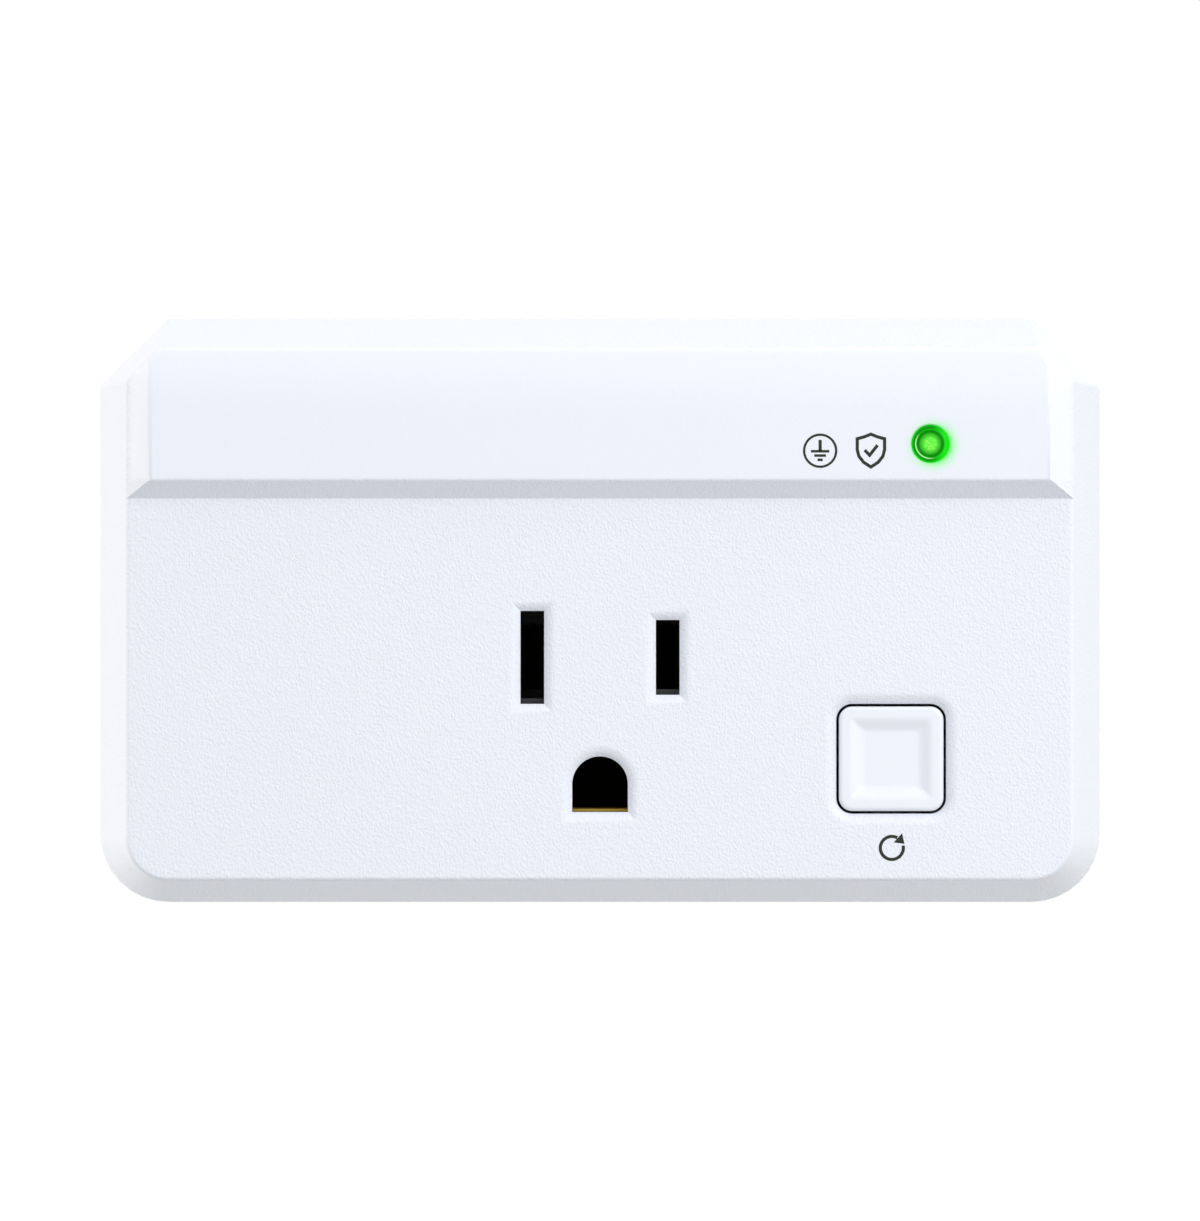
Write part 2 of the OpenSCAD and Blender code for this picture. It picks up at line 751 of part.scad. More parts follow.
// One folded strip seen edge-on: up the outside of a leaf, down its inside, and across the base
function clip_points(gap, base, mouth, t) =
    let (line = leaf(gap, base, mouth), n = len(line) - 1)
    concat([for (i = [0:n]) [line[i][0] + t, line[i][1] * contact_depth]],
           [for (i = [n:-1:1]) [line[i][0], line[i][1] * contact_depth]],
           [[base, t], [-base, t]],
           [for (i = [1:n]) [-line[i][0], line[i][1] * contact_depth]],
           [for (i = [n:-1:0]) [-line[i][0] - t, line[i][1] * contact_depth]]);

// A blade contact: two leaves that press on both faces of the blade, and a solder tail
module blade_contact(x) {
    translate([x, -contact_base, outlet_z - contact_w / 2]) mirror([0, 1, 0])
        linear_extrude(contact_w) polygon(clip_points(throat / 2, contact_base_gap, contact_flare, strip_t));
    block(x - strip_t / 2, x + strip_t / 2, outlet_z + tab_side - tail_w / 2,
          outlet_z + tab_side + tail_w / 2, contact_tab_out, contact_base + strip_t / 2);
}

module line_contact() {
    color([0.83, 0.66, 0.30]) blade_contact(line_x);
}

module neutral_contact() {
    color([0.83, 0.66, 0.30]) blade_contact(-line_x);
}

// The ground contact grips its pin from above and below
module ground_contact() {
    r = pin_d / 2;
    color([0.83, 0.66, 0.30]) {
        translate([-ground_contact_w / 2, -contact_base, ground_z]) rotate([0, 90, 0])
            mirror([0, 1, 0]) linear_extrude(ground_contact_w)
                polygon(clip_points(r - ground_grip, r + ground_grip, r - ground_flare, strip_t));
        block(-strip_t / 2, strip_t / 2, ground_z + tab_side - tail_w / 2,
              ground_z + tab_side + tail_w / 2, contact_tab_out, contact_base + strip_t / 2);
    }
}

// RESET BUTTON AND BREAKER

// The stem stands in the hollow of the cap, and pushes the breaker's plunger
module reset_button() {
    color([0.93, 0.94, 0.97])
    union() {
        difference() {
            union() {
                slab(flange_out, button_top - edge_round)
                    polygon(button_points(button_w, button_radius));
                hull() {
                    for (a = [0:22.5:90])
                        let (t = button_top - edge_round * (1 - sin(a)), e = edge_round * (1 - cos(a)))
                            slab(t - sliver, t)
                                polygon(button_points(button_w - 2 * e, button_radius - e));
                }
                slab(flange_out, flange_out + flange_t)
                    polygon(button_points(flange_w, button_radius + flange_side));
            }
            slab(flange_out - over, button_under)
                polygon(button_points(button_w - 2 * skirt_t, skirt_radius));
            hull() {
                slab(button_top - dish_depth, button_top - dish_depth + sliver)
                    polygon(button_points(dish_floor, skirt_radius));
                slab(button_top, button_top + sliver)
                    polygon(button_points(dish_w, button_radius));
            }
        }
        rod(button_x, button_z, stem_tip, button_under + over, stem_r);
    }
}

// Rings of a swept tube: each ring stands square to the line through its neighbours
function unit(v) = v / norm(v);
function tangent(line, i) =
    unit(line[min(i + 1, len(line) - 1)] - line[max(i - 1, 0)]);
function ring(p, dir, ref, r, sides) =
    let (u = unit(cross(dir, ref)), v = cross(u, dir))
    [for (k = [0:sides - 1]) let (a = 360 * k / sides) p + r * (cos(a) * u + sin(a) * v)];
module tube(line, ref, r, sides) {
    n = len(line);
    points = [for (i = [0:n - 1]) each ring(line[i], tangent(line, i), ref, r, sides)];
    sides_faces = [for (i = [0:n - 2]) for (k = [0:sides - 1])
        let (a = i * sides + k, b = i * sides + (k + 1) % sides)
            each [[a, b, b + sides], [a, b + sides, a + sides]]];
    ends = [[for (k = [sides - 1:-1:0]) k], [for (k = [0:sides - 1]) (n - 1) * sides + k]];
    polyhedron(points = points, faces = concat(sides_faces, ends));
}

module button_spring() {
    per_turn = 14;
    a = breaker_front + spring_wire / 2 + seat;
    b = button_under - spring_wire / 2 - seat;
    count = per_turn * spring_turns;
    color([0.70, 0.71, 0.73])
        tube([for (i = [0:count]) [button_x + spring_r * cos(360 * i / per_turn),
                                   -a - (b - a) * i / count,
                                   button_z + spring_r * sin(360 * i / per_turn)]],
             [0, 1, 0], spring_wire / 2, 6);
}

module breaker_case() {
    color([0.10, 0.10, 0.11])
    difference() {
        block(breaker_x0, breaker_x1, breaker_z0, breaker_z1, breaker_inside + seat, breaker_front);
        block(breaker_x0 + breaker_wall, breaker_x1 - breaker_wall, breaker_z0 + breaker_wall,
              breaker_z1 - breaker_wall, breaker_inside - over, breaker_front - breaker_wall);
        rod(button_x, button_z, breaker_inside, breaker_front + over, plunger_r + plunger_fit);
        for (side = [-1, 1])
            translate([button_x + side * (breaker_w / 2 - breaker_wall / 2), 0, 0])
                block(-breaker_wall, breaker_wall, tab_z - tab_w / 2 - blade_fit,
                      tab_z + tab_w / 2 + blade_fit, breaker_inside - over,
                      breaker_inside + 2 * tab_lift + tab_t + blade_fit);
    }
}

module breaker_base() {
    color([0.55, 0.20, 0.12])
        block(breaker_x0, breaker_x1, breaker_z0, breaker_z1, breaker_out + seat, breaker_inside);
}

module breaker_plunger() {
    color([0.85, 0.83, 0.78]) {
        rod(button_x, button_z, arm_out + strip_t + press_in + rest_gap, plunger_tip, plunger_r);
        rod(button_x, button_z, breaker_front - breaker_wall - pop_out - 2,
            breaker_front - breaker_wall - pop_out - 1, plunger_r + plunger_collar);
    }
}

// A flat strip that leaves the case on one side, from x = inner to the end of its tab
module terminal(side, inner) {
    x0 = button_x + side * inner;
    x1 = button_x + side * (breaker_w / 2 + tab_reach);
    block(min(x0, x1), max(x0, x1), tab_z - tab_w / 2, tab_z + tab_w / 2,
          breaker_inside + tab_lift, breaker_inside + tab_lift + tab_t);
}

// The line terminal has a step inside the case, which carries the bimetal arm
module breaker_line_terminal() {
    x0 = breaker_x0 + breaker_wall + 2 * seat;
    color([0.83, 0.66, 0.30]) {
        terminal(-1, breaker_w / 2 - breaker_wall - 2);
        block(x0, x0 + 1.8, tab_z - tab_w / 2, tab_z + tab_w / 2, breaker_inside + tab_t,
              arm_out - seat);
    }
}

module breaker_load_terminal() {
    color([0.83, 0.66, 0.30]) terminal(1, contact_side - contact_r);
}

module breaker_bimetal() {
    color([0.72, 0.70, 0.66])
        block(breaker_x0 + breaker_wall + 2 * seat, button_x + contact_side + contact_r,
              tab_z - tab_w / 2, tab_z + tab_w / 2, arm_out, arm_out + strip_t);
}

// Two silver buttons, one on the load terminal and one under the arm
module breaker_contacts() {
    lower = breaker_inside + tab_lift + tab_t;
    middle = (lower + arm_out) / 2;
    color([0.85, 0.85, 0.87]) {
        rod(button_x + contact_side, tab_z, lower + seat, middle - seat / 2, contact_r);
        rod(button_x + contact_side, tab_z, middle + seat / 2, arm_out - seat, contact_r);
    }
}

// CIRCUIT BOARD

module circuit_board() {
    legs = concat(
        [for (i = [0:2]) for (s = [-1, 1]) [varistor_x + i * varistor_pitch, varistor_z + s * varistor_leg]],
        [for (s = [-1, 1]) fuse_place + [s * (fuse_len / 2 + axial_tail), 0]],
        [for (s = [-1, 1]) capacitor_place + [s * capacitor_leg, 0]],
        [for (p = [led_resistor_place, bleed_resistor_place, diode_place]) for (s = [-1, 1])
            p + [s * axial_leg, 0]],
        [for (s = [-1, 1]) [led_x + s * led_leg, led_z]]);
    color([0.08, 0.36, 0.20])
    difference() {
        slab(board_out + seat, board_front)
            polygon([[board_left, board_foot], [board_waist, board_foot], [board_waist, board_step],
                     [board_right, board_step], [board_right, board_top],
                     [board_notch[0], board_top], board_notch, [board_left, board_notch[1]]]);
        for (p = board_screw_places)
            rod(p[0], p[1], board_out - over, board_front + over, small_screw_r + small_hole_fit);
        for (p = legs)
            rod(p[0], p[1], board_out - over, board_front + over, lead_r + lead_hole);
    }
}

module board_screws() {
    color([0.62, 0.63, 0.65])
    for (p = board_screw_places)
        pan_screw(p[0], p[1], board_front, board_out - board_screw_grip,
                  small_screw_r, small_head_r, small_head_h);
}

// A dipped disc on two legs
module varistor(i) {
    x = varistor_x + i * varistor_pitch;
    middle = board_front + varistor_lift + varistor_d / 2;
    color([0.10, 0.25, 0.62]) {
        translate([x, -middle, varistor_z]) rotate([0, 90, 0]) rotate_extrude() {
            translate([0, -varistor_t / 2]) square([varistor_d / 2 - varistor_t / 2, varistor_t]);
            intersection() {
                translate([varistor_d / 2 - varistor_t / 2, 0]) circle(varistor_t / 2);
                translate([0, -varistor_t]) square([varistor_d, 2 * varistor_t]);
            }
        }
        for (s = [-1, 1])
            rod(x, varistor_z + s * varistor_leg, lead_out, middle - 2, lead_r);
    }
}

module varistor_line_neutral() {
    varistor(0);
}

module varistor_line_ground() {
    varistor(1);
}

module varistor_neutral_ground() {
    varistor(2);
}

// An axial part: its body lies along X and its legs are bent down into the board
module axial(p, out, len, r, half) {
    translate([p[0] - len / 2, -out, p[1]]) rotate([0, 90, 0]) cylinder(h = len, r = r);
    translate([p[0] - half, -out, p[1]]) rotate([0, 90, 0]) cylinder(h = 2 * half, r = lead_r);
    for (s = [-1, 1]) {
        rod(p[0] + s * half, p[1], lead_out, out, lead_r);
        translate([p[0] + s * half, -out, p[1]]) sphere(lead_r);
    }
}

module thermal_fuse() {
    color([0.86, 0.84, 0.78])
        axial(fuse_place, fuse_out, fuse_len, fuse_r, fuse_len / 2 + axial_tail);
}

module film_capacitor() {
    s = capacitor_size;
    color([0.93, 0.76, 0.16]) {
        slab(board_front + seat, board_front + s[1])
            translate(capacitor_place) polygon(rounded_rect(s[0], s[2], capacitor_corner));
        for (side = [-1, 1])
            rod(capacitor_place[0] + side * capacitor_leg, capacitor_place[1], lead_out,
                board_front + 1, lead_r);
    }
}

module led_resistor() {
    color([0.80, 0.70, 0.52])
        axial(led_resistor_place, board_front + resistor_r + axial_gap, resistor_len, resistor_r,
              axial_leg);
}

module bleed_resistor() {
    color([0.45, 0.62, 0.78])
        axial(bleed_resistor_place, board_front + bleed_r + axial_gap, bleed_len, bleed_r, axial_leg);
}

module rectifier_diode() {
    color([0.12, 0.12, 0.12])
        axial(diode_place, board_front + diode_r + axial_gap, diode_len, diode_r, axial_leg);
}

// STATUS LIGHT

module status_led() {
    r = led_d / 2;
    dome = r * 0.8;
    color([0.10, 0.85, 0.15])
    outward(led_x, led_z, led_flange_out) {
        cylinder(h = led_flange_t, r = led_flange_r);
        cylinder(h = led_len - dome, r = r);
        translate([0, 0, led_len - dome]) intersection() {
            round_r = (r * r + dome * dome) / (2 * dome);
            translate([0, 0, dome - round_r]) sphere(round_r);
            cylinder(h = dome + over, r = r);
        }
    }
}

module led_legs() {
    color([0.75, 0.75, 0.77])
    for (s = [-1, 1])
        rod(led_x + s * led_leg, led_z, lead_out, led_flange_out - seat, lead_r);
}

module led_spacer() {
    color([0.90, 0.90, 0.88])
    difference() {
        rod(led_x, led_z, board_front + seat, led_flange_out - seat, led_flange_r + spacer_side);
        for (s = [-1, 1])
            rod(led_x + s * led_leg, led_z, board_front - over, led_flange_out + over,
                lead_r + lead_hole);
    }
}

// LEADS

// Smooth line through hand-chosen points, as [x, stand-off, z]
function spline(p0, p1, p2, p3, u) =
    0.5 * (2 * p1 + (p2 - p0) * u + (2 * p0 - 5 * p1 + 4 * p2 - p3) * u * u
           + (3 * p1 - p0 - 3 * p2 + p3) * u * u * u);
function smooth(route) =
    let (n = len(route) - 1)
    [for (i = [0:n - 1]) for (k = [0:lead_rings - (i == n - 1 ? 0 : 1)])
        spline(route[max(i - 1, 0)], route[i], route[i + 1], route[min(i + 2, n)], k / lead_rings)];

// A lead leaves both of its joints straight, and bends between its second and last but one points
module lead(route, d, ref) {
    n = len(route) - 1;
    line = concat([route[0]], smooth([for (i = [1:n - 1]) route[i]]), [route[n]]);
    tube([for (q = line) [q[0], -q[1], q[2]]], ref, d / 2, lead_sides);
}

// Where the leads are soldered: blade tails, contact tails, breaker tabs and board
blade_joint_out = blade_tab_out - 1.3;
contact_joint_out = block_cover_out - 1.5;
blade_joint_z = outlet_z - tab_side;
contact_joint_z = outlet_z + tab_side;
tab_joint_out = breaker_inside + tab_lift + tab_t + seat;
board_joint_out = board_front + seat;
load_joint = [breaker_x1 + 1.9, tab_joint_out, tab_z - 1];
board_load_joint = [breaker_x1 + 4, tab_joint_out, tab_z + 1.3];

module line_lead() {
    start = [line_x + blade_t / 2 + seat, blade_joint_out, blade_joint_z];
    tab = [breaker_x0 - tab_reach / 2, tab_joint_out, tab_z];
    color([0.08, 0.08, 0.08])
        lead([start, start + [1.2, 0, 0], start + [3.4, 0.5, -0.7], tab + [-2.4, 3, 2],
              tab + [-0.4, 2.6, 0.3], tab + [0, 1.4, 0], tab], heavy_lead, [0.1, 0.3, 1]);
}

module load_lead() {
    end = [line_x + strip_t / 2 + seat, contact_joint_out, contact_joint_z];
    color([0.08, 0.08, 0.08])
        lead([load_joint, load_joint + [0, 1.4, 0], load_joint + [0.1, 3, 1.4],
              load_joint + [0.2, 4.4, 5.4], [breaker_x1 - 2.2, contact_joint_out - 0.4, breaker_z1 + 3.6],
              [button_x - 3, contact_joint_out, contact_joint_z + 0.4], end + [5, 0, 0],
              end + [1.2, 0, 0], end], heavy_lead, [0.1, 0.3, 1]);
}

module neutral_lead() {
    start = [-line_x + blade_t / 2 + seat, blade_joint_out, blade_joint_z];
    end = [-line_x + strip_t / 2 + seat, contact_joint_out, contact_joint_z];
    color([0.88, 0.88, 0.86])
        lead([start, start + [1.2, 0, 0], (start + end) / 2 + [2.6, 0, 0], end + [1.4, 0, 0], end],
             heavy_lead, [1, 0.1, 0.2]);
}

module ground_lead() {
    start = [blade_t / 2 + seat, blade_joint_out, ground_z - tab_side];
    end = [strip_t / 2 + seat, contact_joint_out, ground_z + tab_side];
    color([0.10, 0.45, 0.18])
        lead([start, start + [1.2, 0, 0], (start + end) / 2 + [2.6, 0, 0], end + [1.4, 0, 0], end],
             heavy_lead, [1, 0.1, 0.2]);
}

module board_line_lead() {
    pad = [board_right - 11.3, board_joint_out, board_step + 2.4];
    color([0.08, 0.08, 0.08])
        lead([board_load_joint, board_load_joint + [0, 1.2, 0], board_load_joint + [0.3, 4.2, 4.4],
              [board_load_joint[0] - 1.2, board_joint_out + 1.4, board_step - 4.4],
              [pad[0] + 7.4, board_joint_out + 1.5, board_step - 1.2],
              pad + [2.4, 1.7, -0.9], pad + [0, 1.1, 0], pad],
             light_lead, [0.1, 1, 0.3]);
}

module board_neutral_lead() {
    start = [-line_x - blade_t / 2 - seat, blade_joint_out, blade_joint_z];
    pad = [board_waist - 2.4, board_joint_out, outlet_z + 2.4];
    color([0.88, 0.88, 0.86])
        lead([start, start + [-1, 0, 0], start + [-3.4, 0.8, 0.6], pad + [3, 1.4, -0.8],
              pad + [0.4, 1.5, 0], pad + [0, 0.8, 0], pad], light_lead, [0.1, 0.3, 1]);
}

module board_ground_lead() {
    start = [-blade_t / 2 - seat, blade_joint_out, ground_z - tab_side];
    pad = [board_waist - 8.6, board_joint_out, board_foot + 1.2];
    color([0.10, 0.45, 0.18])
        lead([start, start + [-1, 0, 0], start + [-7.4, 0.8, 0.2],
              [board_waist, board_joint_out + 1.1, board_foot - 1.7],
              [board_waist - 5, board_joint_out + 1.9, board_foot - 0.2],
              pad + [0.3, 1.6, 0], pad + [0, 0.8, 0], pad], light_lead, [0.1, 0.3, 1]);
}

front_cover();
rear_cover();
case_screws();
line_blade();
neutral_blade();
ground_pin();
blade_retainer();
retainer_screws();
contact_block();
contact_cover();
contact_screws();
line_contact();
neutral_contact();
ground_contact();
reset_button();
button_spring();
breaker_case();
breaker_base();
breaker_plunger();
breaker_bimetal();
breaker_line_terminal();
breaker_load_terminal();
breaker_contacts();
circuit_board();
board_screws();
varistor_line_neutral();
varistor_line_ground();
varistor_neutral_ground();
thermal_fuse();
film_capacitor();
led_resistor();
bleed_resistor();
rectifier_diode();
status_led();
led_legs();
led_spacer();
line_lead();
load_lead();
neutral_lead();
ground_lead();
board_line_lead();
board_neutral_lead();
board_ground_lead();
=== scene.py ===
import math

import bmesh
import bpy
from mathutils import Matrix, Vector


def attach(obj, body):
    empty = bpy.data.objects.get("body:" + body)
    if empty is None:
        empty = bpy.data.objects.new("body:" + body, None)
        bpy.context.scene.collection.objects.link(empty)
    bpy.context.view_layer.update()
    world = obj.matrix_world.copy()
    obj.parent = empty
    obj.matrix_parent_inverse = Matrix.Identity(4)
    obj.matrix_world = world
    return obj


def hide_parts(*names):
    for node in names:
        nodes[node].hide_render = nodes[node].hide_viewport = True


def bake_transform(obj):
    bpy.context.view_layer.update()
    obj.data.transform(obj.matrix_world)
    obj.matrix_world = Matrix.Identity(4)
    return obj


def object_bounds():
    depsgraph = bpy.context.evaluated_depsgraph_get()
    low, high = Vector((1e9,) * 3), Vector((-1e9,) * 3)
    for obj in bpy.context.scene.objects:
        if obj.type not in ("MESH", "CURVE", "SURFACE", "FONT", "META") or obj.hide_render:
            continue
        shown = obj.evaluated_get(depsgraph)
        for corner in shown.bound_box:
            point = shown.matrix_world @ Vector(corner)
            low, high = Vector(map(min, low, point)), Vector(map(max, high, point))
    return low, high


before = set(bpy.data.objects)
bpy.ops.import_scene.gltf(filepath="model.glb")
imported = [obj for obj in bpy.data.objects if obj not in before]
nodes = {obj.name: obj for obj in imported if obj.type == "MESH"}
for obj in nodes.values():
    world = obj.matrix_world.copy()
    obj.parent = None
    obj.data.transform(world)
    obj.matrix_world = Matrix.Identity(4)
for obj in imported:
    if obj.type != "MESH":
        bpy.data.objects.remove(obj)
cad_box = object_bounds()
scene = bpy.context.scene
scene.view_settings.view_transform = "Standard"
MM = 0.001


# CAMERA, FLOOR AND LAMPS
# The camera looks straight at the outlet panel from 1.5 m, and the casing hangs above a plain pale
# floor, so no shadow touches it. A white lamp stands to the camera's upper right and one overhead, a
# warm one lights each side wall, and the pale room gives soft light from all round.
PANEL_Y = -30.6 * MM
CAMERA_DISTANCE = 1500 * MM
VIEW_HEIGHT = 114.43 * MM
SENSOR_WIDTH = 36
LAMP_AIM = Vector((0, -0.02, 0))
WORLD_LEVEL = 0.89
FLOOR_SIZE, FLOOR_DROP = 6.0, 60 * MM
FLOOR_TONE, FLOOR_GLOW = 0.50, 0.9

camera_data = bpy.data.cameras.new("front_camera")
camera_data.sensor_width = SENSOR_WIDTH
camera_data.lens = SENSOR_WIDTH * CAMERA_DISTANCE / VIEW_HEIGHT
camera_data.clip_start, camera_data.clip_end = 0.05, 20
camera = bpy.data.objects.new("front_camera", camera_data)
camera.location = (0, PANEL_Y - CAMERA_DISTANCE, 0)
camera.rotation_euler = (math.radians(90), 0, 0)
scene.collection.objects.link(camera)
scene.camera = camera


def area_lamp(name, place, size, watts, colour=(1, 1, 1)):
    """A soft box of the given size, aimed at the casing."""
    data = bpy.data.lights.new(name, "AREA")
    data.shape, data.size, data.size_y = "RECTANGLE", size[0], size[1]
    data.energy, data.color = watts, colour
    lamp = bpy.data.objects.new(name, data)
    lamp.location = place
    lamp.rotation_euler = (LAMP_AIM - Vector(place)).to_track_quat("-Z", "Y").to_euler()
    scene.collection.objects.link(lamp)


area_lamp("key_box", (0.50, -0.70, 0.37), (0.4, 0.4), 3.4)
area_lamp("top_box", (0.25, 0.20, 1.12), (0.9, 0.6), 0.9)
area_lamp("left_box", (-1.10, 0.22, 0.12), (0.6, 0.8), 6.1, (1, 0.93, 0.80))
area_lamp("right_box", (1.10, 0.22, 0.12), (0.6, 0.8), 1.1, (1, 0.86, 0.60))


def new_material(name):
    """A Principled material: returns it with its node tree and shader."""
    material = bpy.data.materials.new(name)
    material.use_nodes = True
    tree = material.node_tree
    return material, tree, tree.nodes["Principled BSDF"]


def set_inputs(tree, made, inputs):
    """Gives a node's inputs their values, or links sockets to them."""
    for key, value in inputs.items():
        if isinstance(value, bpy.types.NodeSocket):
            tree.links.new(value, made.inputs[key])
        else:
            made.inputs[key].default_value = value


def node(tree, kind, inputs=None, **settings):
    """Adds a shader node."""
    made = tree.nodes.new("ShaderNode" + kind)
    for key, value in settings.items():
        setattr(made, key, value)
    set_inputs(tree, made, inputs or {})
    return made


def maths(tree, operation, *values, **settings):
    """The result of one operation on values or sockets."""
    return node(tree, "Math", dict(enumerate(values)), operation=operation, **settings).outputs[0]


def ranged(tree, value, low, high, start=0.0, end=1.0):
    """Start where a value is low and end where it is high, in even steps between, and held outside."""
    return node(tree, "MapRange", {"Value": value, "From Min": low, "From Max": high,
                                   "To Min": start, "To Max": end}).outputs[0]


def seen_directly(tree):
    """1 for what the camera, a reflection or clear plastic sees, and 0 for what only receives light."""
    path = node(tree, "LightPath").outputs
    either = maths(tree, "MAXIMUM", path["Is Camera Ray"], path["Is Glossy Ray"])
    return maths(tree, "MAXIMUM", either, path["Is Transmission Ray"])


world = bpy.data.worlds.new("pale_room")
scene.world = world
world.use_nodes = True
room = world.node_tree
set_inputs(room, room.nodes["Background"], {
    "Color": (1, 1, 1, 1), "Strength": ranged(room, seen_directly(room), 0, 1, WORLD_LEVEL, 1)})

floor_mesh = bpy.data.meshes.new("floor")
half = FLOOR_SIZE / 2
floor_mesh.from_pydata([(-half, -half, 0), (half, -half, 0), (half, half, 0), (-half, half, 0)],
                       [], [(0, 1, 2, 3)])
floor = bpy.data.objects.new("floor", floor_mesh)
floor.location = (0, 0, cad_box[0].z - FLOOR_DROP)
scene.collection.objects.link(floor)
floor_paint, tree, shader = new_material("floor_paint")
set_inputs(tree, shader, {
    "Base Color": (FLOOR_TONE, FLOOR_TONE, FLOOR_TONE, 1), "Roughness": 0.9,
    "Specular IOR Level": 0.0, "Emission Color": (1, 1, 1, 1),
    "Emission Strength": maths(tree, "MULTIPLY", seen_directly(tree), FLOOR_GLOW)})
floor_mesh.materials.append(floor_paint)


# FRONT COVER
# One white ABS moulding: the outlet panel, the raised band above it, and walls that lean in for the
# mould. The panel and walls have a fine spark finish, the band's face is smooth, and the mouths of the
# slots, the ground hole and the button's hole are softly rounded.
SHELL_WHITE = (0.80, 0.832, 0.905)
ABS_SPECULAR = 0.45
PANEL_ROUGH, BAND_ROUGH = 0.55, 0.42
PANEL_GRAIN, PANEL_RELIEF, BAND_RELIEF_SHARE = 0.28 * MM, 0.058 * MM, 0.12
GRAIN_STRETCH = (1.15, 1.0, 0.9)
CLOUD_LOW, CLOUD_HIGH = 0.3, 0.7
BAND_EDGE_Z = 12.25 * MM
BAND_Y = -33.0 * MM
BAND_FACE_Y = -31.0 * MM
LED_X, LED_Z = 30.9 * MM, 15.6 * MM
LED_HOLE_R, LED_HOLE_DEPTH = 1.75 * MM, 5 * MM
GLOW_RIGHT, GLOW_DOWN, GLOW_START, GLOW_END = 0.32 * MM, 0.1 * MM, 1.45 * MM, 2.9 * MM
SLOT_X, SLOT_Z, SLOT_W = 6.35 * MM, -4.4 * MM, 2.2 * MM
LINE_SLOT_H, NEUTRAL_SLOT_H = 7.0 * MM, 8.7 * MM
GROUND_Z, GROUND_R = -16.29 * MM, 2.6 * MM
BUTTON_X, BUTTON_Z = 27.3 * MM, -13.9 * MM
BUTTON_HOLE, BUTTON_HOLE_CORNER = 10.28 * MM, 1.49 * MM
PANEL_THICK, COLLAR_DEPTH = 2.3 * MM, 5.7 * MM
MOUTH_RUN, MOUTH_FALL, LED_MOUTH_ROUND = 1.1 * MM, 0.64 * MM, 0.16 * MM
CUTTER_START, SHAVING = 0.3 * MM, 0.01 * MM


def position(tree):
    """X, Y and Z of the point, in metres in the part's own frame."""
    place = node(tree, "TexCoord").outputs["Object"]
    return place, node(tree, "SeparateXYZ", {0: place}).outputs


def blended(tree, share, one, two):
    """A colour between two colours or sockets."""
    return node(tree, "Mix", {0: share, 6: one, 7: two}, data_type="RGBA").outputs[2]


def drift(tree, place, size, low, high, detail=3.0):
    """A value that wanders between two limits, in patches of about a size."""
    cloud = node(tree, "TexNoise", {"Vector": place, "Scale": 1 / size, "Detail": detail})
    return ranged(tree, cloud.outputs[0], CLOUD_LOW, CLOUD_HIGH, low, high)


def shaded(tree, colour, shade):
    """A colour made darker or lighter by a value."""
    return node(tree, "VectorMath", {0: colour, "Scale": shade}, operation="SCALE").outputs[0]


def mottle(tree, shader, place, colour, spread, size):
    """Lets a colour drift a little over the surface, as resin and plating do, and returns it."""
    tint = shaded(tree, colour, drift(tree, place, size, 1 - spread, 1 + spread))
    set_inputs(tree, shader, {"Base Color": tint})
    return tint


def spark_finish(tree, place, size):
    """Height of the fine pitted skin that a spark-eroded mould leaves, drawn out a little upward."""
    place = node(tree, "Mapping", {"Vector": place, "Scale": GRAIN_STRETCH}).outputs[0]
    fine = node(tree, "TexNoise", {"Vector": place, "Scale": 1 / size, "Detail": 2.0,
                                   "Roughness": 0.6, "Distortion": 0.4})
    pits = node(tree, "TexVoronoi", {"Vector": place, "Scale": 1.3 / size}, feature="SMOOTH_F1")
    return maths(tree, "ADD", fine.outputs[0], pits.outputs["Distance"])


def embossed(tree, shader, height, distance, strength=1.0):
    """Gives a shader the relief of a height."""
    bump = node(tree, "Bump", {"Strength": strength, "Distance": distance, "Height": height})
    set_inputs(tree, shader, {"Normal": bump.outputs[0]})


def mesh_of(work, name):
    """Ends a bmesh, with its faces turned outward."""
    bmesh.ops.recalc_face_normals(work, faces=work.faces)
    mesh = bpy.data.meshes.new(name)
    work.to_mesh(mesh)
    work.free()
    return mesh


def cad_shape(node_name):
    """A copy of a CAD node's mesh, with its split vertices joined again."""
    work = bmesh.new()
    work.from_mesh(nodes[node_name].data)
    bmesh.ops.remove_doubles(work, verts=work.verts, dist=1e-7)
    return mesh_of(work, node_name + "_shape")


def loft(rings, closed=False):
    """Skins a row of outlines that have as many points each, and caps its ends."""
    work = bmesh.new()
    rows = [[work.verts.new(p) for p in ring] for ring in rings]
    count = len(rings[0])
    for a, b in list(zip(rows, rows[1:])) + ([(rows[-1], rows[0])] if closed else []):
        for k in range(count):
            n = (k + 1) % count
            work.faces.new((a[k], a[n], b[n], b[k]))
    if not closed:
        work.faces.new(rows[0][::-1])
        work.faces.new(rows[-1])
    return mesh_of(work, "loft")


def gathered(meshes, name):
    """Brings several closed meshes together as one."""
    work = bmesh.new()
    for mesh in meshes:
        work.from_mesh(mesh)
    return mesh_of(work, name)


def carved(mesh, tools):
    """Cuts each tool's mesh out of a mesh, and returns what is left."""
    body = bpy.data.objects.new("carved_body", mesh)
    scene.collection.objects.link(body)
    helpers = []
    for tool_mesh in tools:
        helper = bpy.data.objects.new("carving_tool", tool_mesh)
        scene.collection.objects.link(helper)
        cut = body.modifiers.new("cut", "BOOLEAN")
        cut.object, cut.operation, cut.solver = helper, "DIFFERENCE", "EXACT"
        helpers.append(helper)
    bpy.context.view_layer.update()
    solid = body.evaluated_get(bpy.context.evaluated_depsgraph_get())
    made = bpy.data.meshes.new_from_object(solid)
    for helper in helpers + [body]:
        bpy.data.objects.remove(helper)
    return made


